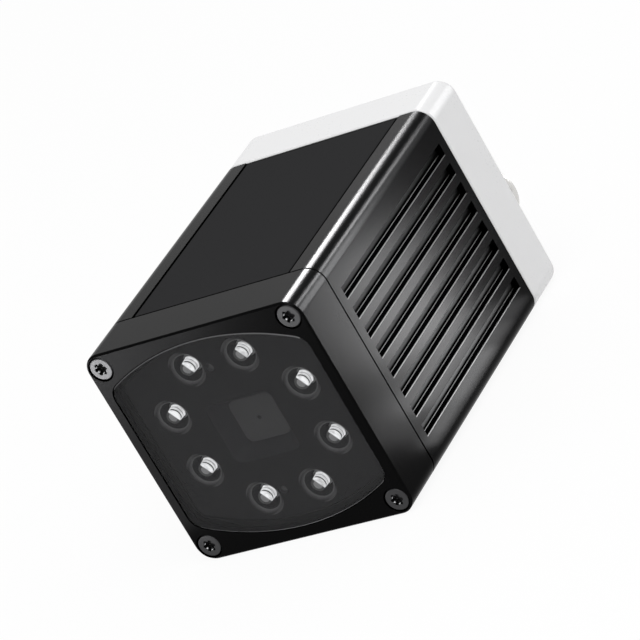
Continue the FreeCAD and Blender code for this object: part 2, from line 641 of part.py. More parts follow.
REAR_GLASS = "(rear_lens_diameter / 2 - glass_clearance)"
rear_crown = f"({REAR_SEAT} + rear_lens_edge)"
turned("rear_lens", [
    ("0", REAR_SEAT),
    (REAR_GLASS, REAR_SEAT),
    (REAR_GLASS, rear_crown, "+rear_lens_radius"),
    ("0", f"{rear_crown} + {bulge('rear_lens_radius', REAR_GLASS)}"),
])

# The ring bears on the curved face of the front lens with its inner edge.
RING_BORE = f"({FRONT_GLASS} - lens_ring_width)"
RING_REAR = (f"({front_crown} - {bulge('front_lens_radius', FRONT_GLASS)}"
             f" + {bulge('front_lens_radius', RING_BORE)})")
turned("lens_ring", [
    (RING_BORE, f"{RING_REAR} - lens_ring_thickness"),
    (FRONT_GLASS, f"{RING_REAR} - lens_ring_thickness"),
    (FRONT_GLASS, RING_REAR),
    (RING_BORE, RING_REAR),
])

arm = piece("focus_arm")
ARM_WIDTH = "(2 * drive_offset + arm_height)"
arm.pad(arm.section(ARM_FRONT).rounded(ARM_WIDTH, "arm_height", "arm_corner"), "arm_thickness")
arm.pad(arm.section(ARM_FRONT).circle("arm_ring"), "arm_thickness")
arm.pocket(arm.section(ARM_FRONT).circle("barrel_diameter + 2 * glass_clearance"), "arm_thickness")
arm.pocket(arm.section(ARM_FRONT).circle("screw_diameter + 2 * slide_clearance", "drive_offset"),
           "arm_thickness")
arm.pocket(arm.section(ARM_FRONT).circle("pin_diameter + 2 * slide_clearance", "-drive_offset"),
           "arm_thickness")

MOTOR_REAR = f"({HOUSING_FRONT} + motor_length)"
BOSS_REAR = f"({MOTOR_REAR} + motor_boss)"
SHAFT_BORE = "(shaft_diameter / 2 + slide_clearance)"
turned("focus_motor", [
    ("0", HOUSING_FRONT),
    ("motor_diameter / 2", HOUSING_FRONT),
    ("motor_diameter / 2", MOTOR_REAR),
    ("motor_boss_diameter / 2", MOTOR_REAR),
    ("motor_boss_diameter / 2", BOSS_REAR),
    (SHAFT_BORE, BOSS_REAR),
    (SHAFT_BORE, f"{HOUSING_FRONT} + motor_floor"),
    ("0", f"{HOUSING_FRONT} + motor_floor"),
], "drive_offset")

turned("lead_screw", [
    ("0", f"{HOUSING_FRONT} + motor_floor + end_play"),
    ("shaft_diameter / 2", f"{HOUSING_FRONT} + motor_floor + end_play"),
    ("shaft_diameter / 2", f"{BOSS_REAR} + end_play"),
    ("screw_diameter / 2", f"{BOSS_REAR} + end_play"),
    ("screw_diameter / 2", DRIVE_END),
    ("0", DRIVE_END),
], "drive_offset")

turned("guide_pin", [
    ("0", CARRIER_FRONT),
    ("pin_diameter / 2", CARRIER_FRONT),
    ("pin_diameter / 2", DRIVE_END),
    ("0", DRIVE_END),
], "-drive_offset")

# Circuit boards, stacked on spacers behind the optics.
BOARD = (BOARD_WIDTH, BOARD_HEIGHT, "board_corner", "0", CAVITY_RISE)
for name, station in (("sensor_board", SENSOR_FRONT),
                      ("main_board", MAIN_FRONT),
                      ("power_board", POWER_FRONT)):
    stud_holes(plate(name, station, "board_thickness", *BOARD), station, "board_thickness")

plate("image_sensor", f"{SENSOR_FRONT} - image_height", "image_height", "image_package", "image_package")
plate("sensor_glass", f"{SENSOR_FRONT} - image_height - image_glass_thickness", "image_glass_thickness",
      "image_glass", "image_glass")
plate("processor", f"{MAIN_FRONT} - processor_height", "processor_height",
      "processor_side", "processor_side")
memory = plate("memory_chips", f"{MAIN_FRONT} - memory_height", "memory_height",
               "memory_width", "memory_length", None, "memory_spacing / 2")
memory.mirror("YZ_Plane")

CAPACITOR_TOP = f"({POWER_FRONT} - capacitor_height)"
capacitors = turned("capacitors", [
    ("0", CAPACITOR_TOP),
    ("capacitor_diameter / 2 - capacitor_chamfer", CAPACITOR_TOP),
    ("capacitor_diameter / 2", f"{CAPACITOR_TOP} + capacitor_chamfer"),
    ("capacitor_diameter / 2", POWER_FRONT),
    ("0", POWER_FRONT),
], "capacitor_spacing / 2", "-part_drop")
capacitors.mirror("YZ_Plane")
plate("inductor", f"{POWER_FRONT} - inductor_height", "inductor_height",
      "inductor_side", "inductor_side", "inductor_corner", "0", "-part_drop")

links = piece("board_links")
for start, stop in ((SENSOR_REAR, MAIN_FRONT), (MAIN_REAR, POWER_FRONT)):
    link = links.section(start).rectangle("link_width", "link_thickness", "0", "link_rise")
    links.pad(link, f"{stop} - {start}")

# Flexible strips that feed the LED board and the focus motor from the sensor board.
plate("led_flex", LED_BOARD_REAR, f"{SENSOR_FRONT} - {LED_BOARD_REAR}",
      "led_flex_width", "flex_thickness", None, "0", "flex_rise")
MOTOR_FLEX_FRONT = f"({MOTOR_REAR} - motor_flex_overlap)"
plate("motor_flex", MOTOR_FLEX_FRONT, f"{SENSOR_FRONT} - {MOTOR_FLEX_FRONT}",
      "motor_flex_width", "flex_thickness", None,
      "drive_offset", "-(motor_diameter + flex_thickness) / 2 - flex_clearance")


def spacers(name, start, stop, stud):
    """Four spacers between two boards, each with a stud in front and a tapped end behind."""
    item = turned(name, [
        ("0", f"{start} - {stud}"),
        ("stud_diameter / 2", f"{start} - {stud}"),
        ("stud_diameter / 2", start),
        ("spacer_diameter / 2", start),
        ("spacer_diameter / 2", stop),
        ("stud_diameter / 2 + stud_clearance", stop),
        ("stud_diameter / 2 + stud_clearance", f"{stop} - stud_hole_depth"),
        ("0", f"{stop} - stud_hole_depth"),
    ], SPACER_X, SPACER_LOW)
    item.mirror("YZ_Plane")
    item.row("Z_Axis", SPACER_SPAN, "2")


spacers("front_spacers", HOUSING_FRONT, SENSOR_FRONT, "carrier_plate")
spacers("middle_spacers", SENSOR_REAR, MAIN_FRONT, "stud_length")
spacers("rear_spacers", MAIN_REAR, POWER_FRONT, "stud_length")

board_screws = turned("board_screws", [
    ("0", f"{POWER_REAR} - stud_length"),
    ("stud_diameter / 2", f"{POWER_REAR} - stud_length"),
    ("stud_diameter / 2", POWER_REAR),
    ("board_screw_head / 2", POWER_REAR),
    ("board_screw_head / 2", f"{POWER_REAR} + board_screw_height"),
    ("0", f"{POWER_REAR} + board_screw_height"),
], SPACER_X, SPACER_LOW)
board_screws.mirror("YZ_Plane")
board_screws.row("Z_Axis", SPACER_SPAN, "2")

# Main housing: cooling slots on both sides, each with a chamfered lip and rounded floor corners.
housing = piece("main_housing")
housing.pad(housing.section(HOUSING_FRONT).rounded(*SECTION), "housing_length")
housing.pocket(housing.section(HOUSING_FRONT).rounded(*HOUSING_CAVITY), "housing_length")
housing.pocket(housing.section(HOUSING_FRONT).rectangle(
    LABEL_WIDTH, "2 * label_recess", "0", "height / 2"), "housing_length")
SLOT_TOP = "slot_pitch * (slot_count - 1) / 2"
slot_sketch = housing.section(f"{HOUSING_FRONT} + slot_setback")
for side, turn in (("", "+slot_fillet"), ("-", "-slot_fillet")):
    outer, lip = f"{side}(width / 2 + slot_lip)", f"{side}(width / 2 - slot_lip)"
    bend, base = f"{side}(width / 2 - slot_depth + slot_fillet)", f"{side}(width / 2 - slot_depth)"
    high, low = f"{SLOT_TOP} + slot_width / 2", f"{SLOT_TOP} - slot_width / 2"
    slot_sketch.outline([
        (outer, f"{low} - 2 * slot_lip"),
        (outer, f"{high} + 2 * slot_lip"),
        (lip, high),
        (bend, high, turn),
        (base, f"{high} - slot_fillet"),
        (base, f"{low} + slot_fillet", turn),
        (bend, low),
        (lip, low),
    ])
slot = housing.pocket(slot_sketch, "housing_length - 2 * slot_setback")
slots = housing.row("Z_Axis", "slot_pitch * (slot_count - 1)", "slot_count", [slot])
slots.Reversed = True
housing.pocket(housing.section(HOUSING_FRONT).four_circles(TAPPED_HOLE, *FRONT_SCREWS),
               "tapped_depth")
housing.pocket(housing.section(HOUSING_REAR).four_circles(TAPPED_HOLE, *REAR_SCREWS),
               "tapped_depth", True)
mounting = housing.plan("-height / 2")
for side in ("", "-"):
    for way in ("+", "-"):
        mounting.circle("mount_hole", f"{side}mount_spacing_x / 2",
                        f"mount_station {way} mount_spacing_y / 2")
housing.pocket(mounting, "mount_depth", True)

plate("label_panel", f"{HOUSING_FRONT} + label_gap", "housing_length - 2 * label_gap",
      f"{LABEL_WIDTH} - 2 * label_gap", "label_thickness", None, "0",
      "height / 2 - label_recess + label_thickness / 2")

GASKET = ("width - 2 * gasket_inset", "height - 2 * gasket_inset", "corner_radius - gasket_inset")
for name, station, inner, screws in (("front_gasket", "frame_depth", FRAME_CAVITY, FRONT_SCREWS),
                                     ("rear_gasket", HOUSING_REAR, HOUSING_CAVITY, REAR_SCREWS)):
    gasket = piece(name)
    gasket.pad(gasket.section(station).rounded(*GASKET).rounded(*inner), "gasket_thickness")
    gasket.pocket(gasket.section(station).four_circles(SHANK_HOLE, *screws), "gasket_thickness")


def cap_screws(name, face, inwards, grip, x, z):
    """Four six-lobe cap screws, sunk in the face and reaching through to the housing."""
    head = f"({face} {inwards} head_sink)"
    seat = f"({head} {inwards} head_height)"
    item = turned(name, [
        ("0", head),
        ("head_diameter / 2 - head_chamfer", head),
        ("head_diameter / 2", f"{head} {inwards} head_chamfer"),
        ("head_diameter / 2", seat),
        ("shank_diameter / 2", seat),
        ("shank_diameter / 2", grip),
        ("0", grip),
    ], x, z)
    rearwards = inwards == "+"
    item.pocket(item.section(head).circle("socket_core", x, z), "socket_depth", not rearwards)
    lobes = item.section(head)
    for step in range(6):
        lobes.circle("lobe_diameter", f"{x} + lobe_circle / 2 * cos({60 * step})",
                     f"{z} + lobe_circle / 2 * sin({60 * step})")
    item.pocket(lobes, "socket_depth", not rearwards)
    item.mirror("YZ_Plane")
    item.mirror("XY_Plane")


cap_screws("front_screws", "0", "+", f"{HOUSING_FRONT} + grip_length", *FRONT_SCREWS)
cap_screws("rear_screws", REAR_FACE, "-", f"{HOUSING_REAR} - grip_length", *REAR_SCREWS)

# Rear cover with the connectors and the status light pipes.
CONNECTOR_X = "(width / 2 - connector_margin)"
CONNECTOR_Z = "(connector_level - height / 2)"
PIPE_LEVEL = "(height / 2 - pipe_margin)"
cover = piece("rear_cover")
cover.pad(cover.section(COVER_FRONT).rounded(*SECTION), "cover_depth")
cover.fillet(cover.edges_at(REAR_FACE), "cover_fillet")
cover.pocket(cover.section(COVER_FRONT).rounded(*HOUSING_CAVITY), "cover_depth - cover_face")
cover.pocket(cover.section(COVER_FRONT).four_circles(SHANK_HOLE, *REAR_SCREWS), "cover_depth")
cover.pocket(cover.section(REAR_FACE).four_circles(HEAD_WELL[0], *REAR_SCREWS), HEAD_WELL[1],
             True)
openings = cover.section(COVER_INNER)
for side in ("", "-"):
    openings.circle("connector_thread + 2 * neck_clearance", f"{side}{CONNECTOR_X}", CONNECTOR_Z)
cover.pocket(openings, "cover_face")
PIPE_FIRST = "(-pipe_spacing * (pipe_count - 1) / 2)"
pipe_hole = cover.pocket(cover.section(COVER_INNER).circle(
    "pipe_diameter + 2 * pipe_clearance", PIPE_FIRST, PIPE_LEVEL), "cover_face")
cover.row("X_Axis", "pipe_spacing * (pipe_count - 1)", "pipe_count", [pipe_hole])

pipes = turned("status_pipes", [
    ("0", f"{COVER_INNER} - pipe_head"),
    ("pipe_head_diameter / 2", f"{COVER_INNER} - pipe_head"),
    ("pipe_head_diameter / 2", COVER_INNER),
    ("pipe_diameter / 2", COVER_INNER),
    ("pipe_diameter / 2", f"{REAR_FACE} + pipe_proud"),
    ("0", f"{REAR_FACE} + pipe_proud"),
], PIPE_FIRST, PIPE_LEVEL)
pipes.row("X_Axis", "pipe_spacing * (pipe_count - 1)", "pipe_count")

FLANGE_FRONT = f"({REAR_FACE} + ring_thickness)"
FLANGE_REAR = f"({FLANGE_FRONT} + flange_thickness)"
CONNECTOR_END = f"({REAR_FACE} + connector_reach)"
shells = {}
for name, x in (("plug_shell", CONNECTOR_X), ("socket_shell", f"-{CONNECTOR_X}")):
    shells[name] = turned(name, [
        ("connector_bore / 2", f"{REAR_FACE} - connector_neck"),
        ("connector_thread / 2", f"{REAR_FACE} - connector_neck"),
        ("connector_thread / 2", FLANGE_FRONT),
        ("flange_diameter / 2", FLANGE_FRONT),
        ("flange_diameter / 2", FLANGE_REAR),
        ("connector_thread / 2", FLANGE_REAR),
        ("connector_thread / 2", f"{CONNECTOR_END} - connector_chamfer"),
        ("connector_thread / 2 - connector_chamfer", CONNECTOR_END),
        ("connector_bore / 2", CONNECTOR_END),
    ], x, CONNECTOR_Z)

# A key inside the plug shell, and the keyway for it in the socket insert.
KEY_CENTRE = f"({CONNECTOR_Z} + connector_bore / 2)"
KEY_FRONT = f"({REAR_FACE} + plug_insert_reach + key_clearance)"
plug_key = shells["plug_shell"].section(KEY_FRONT)
plug_key.rectangle("key_width", "2 * key_height", CONNECTOR_X, KEY_CENTRE)
shells["plug_shell"].pad(plug_key, f"{CONNECTOR_END} - connector_chamfer - {KEY_FRONT}")

rings = turned("connector_rings", [
    ("connector_thread / 2 + neck_clearance", REAR_FACE),
    ("flange_diameter / 2 - ring_inset", REAR_FACE),
    ("flange_diameter / 2 - ring_inset", FLANGE_FRONT),
    ("connector_thread / 2 + neck_clearance", FLANGE_FRONT),
], CONNECTOR_X, CONNECTOR_Z)
rings.mirror("YZ_Plane")

nuts = piece("connector_nuts")
hexagon = [(f"{CONNECTOR_X} + nut_flats / sqrt(3) * cos({60 * k})",
            f"{CONNECTOR_Z} + nut_flats / sqrt(3) * sin({60 * k})") for k in range(6)]
nut_sketch = nuts.section(f"{COVER_INNER} - nut_thickness").outline(hexagon)
nut_sketch.circle("connector_thread + 2 * neck_clearance", CONNECTOR_X, CONNECTOR_Z)
nuts.pad(nut_sketch, "nut_thickness")
nuts.mirror("YZ_Plane")


def contact_spots(count, circle, x, middle):
    """Where the contacts of a connector lie, evenly on both sides of the key."""
    spots = [(x, CONNECTOR_Z)] if middle else []
    for step in range(round(number(count))):
        angle = f"90 + (360 * {step} + 180) / {count}"
        spots.append((f"{x} + {circle} / 2 * cos({angle})", f"{CONNECTOR_Z} + {circle} / 2 * sin({angle})"))
    return spots


INSERT_FRONT = f"({REAR_FACE} - insert_inner)"


def connector_core(name, x, middle):
    """The insert of a connector and its contacts, which reach from the power board through the insert."""
    length = f"insert_inner + {name}_insert_reach"
    contact = f"{name}_contact_diameter"
    insert = piece(f"{name}_insert")
    core = insert.section(INSERT_FRONT).circle("connector_bore - 2 * contact_clearance", x, CONNECTOR_Z)
    insert.pad(core, length)
    holes = insert.section(INSERT_FRONT)
    contacts = piece(f"{name}_contacts")
    pins = contacts.section(POWER_REAR)
    for spot in contact_spots(f"{name}_contacts", f"{name}_circle", x, middle):
        holes.circle(f"{contact} + 2 * contact_clearance", *spot)
        pins.circle(contact, *spot)
    insert.pocket(holes, length)
    contacts.pad(pins, f"{REAR_FACE} + {name}_contact_reach - {POWER_REAR}")
    return insert


connector_core("plug", CONNECTOR_X, middle=True)
socket_insert = connector_core("socket", f"-{CONNECTOR_X}", middle=False)
keyway = socket_insert.section(REAR_FACE)
keyway.rectangle("key_width + 2 * key_clearance", "2 * (key_height + key_clearance)",
                 f"-{CONNECTOR_X}", KEY_CENTRE)
socket_insert.pocket(keyway, "socket_insert_reach")

DOC.recompute()
for item in DOC.Objects:
    if "Invalid" in item.State or "Error" in item.State:
        raise RuntimeError(f"{item.Name} could not be built: {item.State}")

os.makedirs("parts", exist_ok=True)
for item in PIECES:
    shape = item.body.Shape
    if shape.isNull() or not shape.isValid() or not shape.Solids:
        raise RuntimeError(f"{item.body.Label} has no sound solid")
    shape.exportStep(f"parts/{item.body.Label}.step")
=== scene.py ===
import json
import math

import bmesh
import bpy
from bpy.props import FloatProperty, FloatVectorProperty, IntProperty, PointerProperty
from mathutils import Matrix, Quaternion, Vector


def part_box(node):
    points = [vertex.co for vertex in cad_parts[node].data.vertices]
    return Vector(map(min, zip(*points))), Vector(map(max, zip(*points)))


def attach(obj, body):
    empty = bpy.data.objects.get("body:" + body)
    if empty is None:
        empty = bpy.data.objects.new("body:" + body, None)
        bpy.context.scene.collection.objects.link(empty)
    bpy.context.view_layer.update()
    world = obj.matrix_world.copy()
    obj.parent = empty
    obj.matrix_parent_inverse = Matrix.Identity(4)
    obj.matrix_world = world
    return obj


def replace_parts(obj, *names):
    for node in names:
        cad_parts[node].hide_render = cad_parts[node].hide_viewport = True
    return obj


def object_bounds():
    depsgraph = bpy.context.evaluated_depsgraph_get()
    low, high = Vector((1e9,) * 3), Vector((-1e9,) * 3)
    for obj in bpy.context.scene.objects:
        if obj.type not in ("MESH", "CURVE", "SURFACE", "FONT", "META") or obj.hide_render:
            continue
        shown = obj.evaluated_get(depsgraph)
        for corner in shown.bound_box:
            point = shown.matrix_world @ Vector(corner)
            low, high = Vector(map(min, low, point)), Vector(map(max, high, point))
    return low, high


bl_info = {
    "name": "Vision sensor looks",
    "version": (1, 0, 0),
    "blender": (4, 5, 0),
    "location": "3D View > Sidebar > Sensor",
    "description": "Dresses the solids of a vision sensor and sets up its studio",
    "category": "Object",
}

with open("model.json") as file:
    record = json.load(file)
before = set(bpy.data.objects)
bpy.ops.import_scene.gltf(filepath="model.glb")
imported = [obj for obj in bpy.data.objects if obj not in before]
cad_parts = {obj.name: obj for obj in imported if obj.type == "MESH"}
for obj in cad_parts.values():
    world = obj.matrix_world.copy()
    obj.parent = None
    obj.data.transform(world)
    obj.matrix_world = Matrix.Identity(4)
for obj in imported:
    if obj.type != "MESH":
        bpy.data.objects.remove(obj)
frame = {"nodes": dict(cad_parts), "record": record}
CAD_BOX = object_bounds()
RECORD = frame["record"]
BODY_OF = {node: body for body, nodes in RECORD["behaviour"]["bodies"].items() for node in nodes}
MM = 0.001
SHARP = math.radians(28)
SHARP_TURNED = math.radians(32)
SHARP_THREADED = math.radians(40)
MIDDLE_HEIGHT = (CAD_BOX[0][2] + CAD_BOX[1][2]) / 2

# Outlines of the turned pieces: radius, and distance behind the face that each starts from, in
# millimetres. A hair is the radius of a point on the axis.
HAIR = 0.001
LED_COUNT = 8
LED_BASE_RADIUS = 1.75
LENS_RIM = ((0.80, 0.02), (0.85, 0.0), (1.25, 0.05), (1.32, 0.20))
LENS_SKIRT = ((1.40, -0.95), (1.40, -0.70), (1.52, -0.60), (1.55, -0.40), (1.55, 0.0), (0.20, 0.0))
LENS_HOLLOW = ((0.20, 0.30), (0.80, 0.30))
DISC_OUTLINE = ((HAIR, 0.03), (0.48, 0.035), (0.80, 0.06), (0.80, 0.28), (HAIR, 0.28))
BASE_COLLAR = ((HAIR, 0.0), (1.62, 0.0), (LED_BASE_RADIUS, 0.12))
BASE_FOOT = ((LED_BASE_RADIUS, 0.0), (HAIR, 0.0))
LIP_DEPTH = 0.55
LIP_RADIUS = 3.45
LIP_OUTLINE = ((LIP_RADIUS, -0.02), (3.25, -0.02), (2.60, LIP_DEPTH - 0.02), (2.60, LIP_DEPTH),
               (3.25, 0.0), (LIP_RADIUS, 0.0))

# Steps round each of the turned pieces.
LED_STEPS = 40
LIP_STEPS = 56
SHELL_STEPS = 72
DRIVE_STEPS = 36

# Where the painted highlight that glows on an LED has painted lines of shade across it and where it ends,
# in millimetres behind the nose.
NEAR_SHADE_LINE = (0.28, 0.62)
FAR_SHADE_LINE = (1.00, 1.25)
HIGHLIGHT_END = (1.6, 1.8)

# Directions on the front face, to the right and up, of the painted highlight on an LED and of the painted
# light at the ends of its cup's rim, and the radius over which an LED's painted highlight fades, in
# millimetres.
LED_FACING = (0.85, 0.53)
CUP_FACING = (0.53, -0.85)
LED_REACH = 1.35

# Nearest and furthest that a rib of a screw's socket lies from the axis, in millimetres.
SOCKET_RIBS = (0.6, 0.9)


def on_floor(name, x, y, along, length_m, width_m, power, height=0.0005):
    """A lamp that lies on the floor and faces straight up."""
    return name, (x, y, height), (x, y, 1.0), along, length_m, width_m, power


# Name, place, point it faces, direction of the long side, length, width and power of each lamp.
# The shape lamps light only the black metal, the gloss lamps show only as highlights and the edge
# lamps do both.
STUDIO_LAMPS = (
    ("key_light", (0.35, -0.35, 1.00), (0.0, 0.0, 0.02), (1.0, 0.0, 0.0), 0.9, 0.9, 7.5),
)
SHAPE_LAMPS = (
    ("edge_strip", (-0.108, 0.412, 0.420), (0.019, -0.016, 0.040), (0.886, 0.0, 0.465), 0.22, 0.06, 15.0),
    ("top_spot", (-0.211, 0.232, 0.167), (-0.015, -0.030, 0.043), (1.0, 0.0, 0.0), 0.15, 0.15, 0.036),
    on_floor("far_strip", 0.0641, 0.0462, (0.596, 0.803, 0.0), 0.064, 0.018, 0.158),
    on_floor("near_strip", 0.0370, 0.0100, (0.0, 1.0, 0.0), 0.024, 0.020, 0.020),
    on_floor("near_wash", 0.0370, 0.0090, (0.0, 1.0, 0.0), 0.042, 0.020, 0.019),
    on_floor("front_strip", -0.066, -0.092, (0.641, 0.767, 0.0), 0.11, 0.030, 0.048),
    on_floor("front_patch", -0.098, -0.130, (1.0, 0.0, 0.0), 0.03, 0.03, 0.170),
)
EDGE_LAMPS = (
    ("side_spot", (0.147, 0.158, 0.125), (0.021, -0.016, 0.036), (0.37, 0.0, -0.93), 0.040, 0.030, 0.6),
    on_floor("low_strip", 0.0290, -0.0010, (0.0, 1.0, 0.0), 0.030, 0.004, 0.0065),
    on_floor("mid_strip", 0.0375, 0.0090, (0.0, 1.0, 0.0), 0.024, 0.007, 0.0120, height=0.0010),
    ("side_fill", (0.088, 0.050, 0.038), (0.021, -0.020, 0.036), (0.0, 0.0, 1.0), 0.045, 0.024, 0.18),
)
GLOSS_LAMPS = (
    ("rear_strip", (-0.108, 0.412, 0.420), (0.019, 0.030, 0.040), (0.886, 0.0, 0.465), 0.16, 0.06, 0.7),
    ("rear_spot", (0.172, 0.200, 0.084), (0.021, 0.030, 0.036), (0.37, 0.0, -0.93), 0.124, 0.030, 0.12),
)
SHAPED_PIECES = ("front_frame_finished", "main_housing_finished", "front_screws_finished")


def colour(name, meaning, default):
    """A property that holds a colour."""
    return FloatVectorProperty(name=name, description=meaning, default=default,
                               size=3, min=0.0, max=1.0, subtype="COLOR")


def length(name, meaning, millimetres):
    """A property that holds a length, given here in millimetres."""
    return FloatProperty(name=name, description=meaning, default=millimetres * MM,
                         min=0.0, precision=5, unit="LENGTH", subtype="DISTANCE")


def place(name, meaning, millimetres):
    """A property that holds a point, given here in millimetres."""
    return FloatVectorProperty(name=name, description=meaning, size=3, precision=5, unit="LENGTH",
                               subtype="TRANSLATION", default=[value * MM for value in millimetres])


def share(name, meaning, default, highest=1.0):
    """A property that holds a plain number from 0 up."""
    return FloatProperty(name=name, description=meaning, default=default, min=0.0, max=highest)


class SensorColours(bpy.types.PropertyGroup):
    """Colours of the finishes."""

    anodised: colour("Anodised metal", "Front frame and main housing", (0.004, 0.004, 0.0041))
    # The slot edge colour is a painted highlight on the lips and feet of the cooling slots.
    slot_edge_highlight: colour("Slot edges", "Worn edges of the cooling slots", (0.34, 0.34, 0.345))
    slot_floor: colour("Slot floors", "Floors of the cooling slots", (0.12, 0.12, 0.122))
    label: colour("Label film", "Bare panel on the top of the housing", (0.028, 0.028, 0.029))
    cover: colour("Rear cover", "Painted rear cover", (0.74, 0.74, 0.745))
    window: colour("Window", "Tint of the front window", (0.016, 0.016, 0.0175))
    shield: colour("Light shield", "Black plate behind the window", (0.010, 0.010, 0.011))
    # The cup lip colour is painted light laid on the lip of each LED cup.
    cup_lip: colour("Cup lips", "Rim of each LED cup", (0.30, 0.30, 0.305))
    # The window edge colour is a painted highlight on the chamfered edge of the pane.
    window_edge_highlight: colour("Window edge", "Ground edge of the front window", (0.10, 0.10, 0.103))
    aperture: colour("Aperture plate", "Floor of the sight recess", (0.13, 0.13, 0.133))
    # The LED lens and disc colours also make a painted highlight that glows.
    led: colour("LED lens", "Clear lens that looks white", (0.93, 0.94, 0.95))
    led_disc: colour("LED disc", "Flat front of an LED", (0.58, 0.585, 0.59))
    screw: colour("Screws", "Steel of the cap screws", (0.05, 0.05, 0.0515))
    rubber: colour("Seals", "Rubber of gaskets and rings", (0.010, 0.010, 0.010))
    nickel: colour("Nickel", "Connector shells and nuts", (0.66, 0.655, 0.64))
    gold: colour("Gold", "Connector contacts", (0.86, 0.62, 0.24))
    brass: colour("Brass", "Board spacers", (0.72, 0.55, 0.26))
    steel: colour("Bright steel", "Motor, lead screw and guide pin", (0.56, 0.56, 0.57))
    board: colour("Circuit boards", "Green solder mask", (0.012, 0.10, 0.035))
    mask: colour("LED board", "Black solder mask", (0.016, 0.016, 0.018))
    copper: colour("Tracks", "Tracks seen through the solder mask", (0.045, 0.21, 0.075))
    plastic: colour("Black plastic", "Carrier, inserts, chips and links", (0.018, 0.018, 0.019))
    can: colour("Capacitor cans", "Aluminium of the capacitors", (0.62, 0.63, 0.64))
    flex: colour("Flexible strips", "Amber film of the strips", (0.46, 0.19, 0.03))
    glass: colour("Lens glass", "Lenses and sensor glass", (0.94, 0.96, 0.97))


class SensorSizes(bpy.types.PropertyGroup):
    """Sizes of the details that the looks add or follow."""

    edge_rounding: length("Edge rounding", "Rounding of the machined edges", 0.06)
    slot_reach: length("Slot reach", "Height of the cooling slots above and below the middle", 16.5)
    slot_pitch: length("Slot pitch", "Pitch of the cooling slots", 4.023)
    slot_width: length("Slot width", "Width of a cooling slot", 2.17)
    slot_lip: length("Slot lip", "Depth of the chamfer at the lip of a cooling slot", 0.2)
    cover_rounding: length("Cover rounding", "Rounding of the edges of the rear cover", 0.35)
    screw_head: length("Screw head", "Diameter of the head of a front screw", 4.4)
    socket_depth: length("Socket depth", "Depth of the socket in a front screw", 1.2)
    label_shadow_rim: length("Label rim", "Width of the dark rim of the label panel", 0.30)
    # The dark label rim is painted shadow in the gap round the label panel.
    grain: length("Grain", "Size of the specks of the anodised surface", 0.25)
    film_grain: length("Film grain", "Size of the specks of the label film", 0.09)
    peel: length("Paint texture", "Size of the ripples in the paint of the rear cover", 0.35)
    thread_pitch: length("Connector pitch", "Pitch of the connector thread", 1.0)
    thread_depth: length("Connector thread depth", "Depth of the connector thread", 0.55)
    drive_pitch: length("Lead screw pitch", "Pitch of the lead screw", 0.4)
    drive_depth: length("Lead screw thread depth", "Depth of the lead screw thread", 0.2)
    thread_steps: IntProperty(name="Thread steps", description="Steps in one turn of a thread",
                              default=40, min=12, max=96)


class StageSettings(bpy.types.PropertyGroup):
    """Camera, floor and even light."""

    camera_place: place("Camera", "Where the camera stands", (402.44, -540.83, 277.13))
    camera_aim: place("Aim", "Point in the middle of the picture", (-0.774, -1.687, 21.897))
    camera_roll: FloatProperty(name="Roll", description="Clockwise turn of the camera",
                               default=math.radians(30.47), subtype="ANGLE", unit="ROTATION")
    camera_lens: FloatProperty(name="Lens", description="Focal length on a 36 mm sensor",
                               default=236.0, min=1.0, subtype="DISTANCE_CAMERA")
    floor: colour("Floor", "Pale studio floor", (0.86, 0.86, 0.86))
    shadow: share("Shadow", "How much of the floor's own light and shade shows", 0.08)
    ambient: share("Ambient", "Even light from all round", 0.62, 4.0)


class Value:
    """The output of a shader node. Sums on values add Math nodes."""

    def __init__(self, shader, socket):
        self.shader = shader
        self.socket = socket

    def sum(self, operation, first, second):
        return self.shader.node("ShaderNodeMath", {"operation": operation}, {0: first, 1: second})

    def __add__(self, other):
        return self.sum("ADD", self, other)

    def __radd__(self, other):
        return self.sum("ADD", other, self)

    def __sub__(self, other):
        return self.sum("SUBTRACT", self, other)

    def __rsub__(self, other):
        return self.sum("SUBTRACT", other, self)

    def __mul__(self, other):
        return self.sum("MULTIPLY", self, other)

    def __rmul__(self, other):
        return self.sum("MULTIPLY", other, self)

    def __lt__(self, other):
        return self.sum("LESS_THAN", self, other)

    def either(self, other):
        return self.sum("MAXIMUM", self, other)


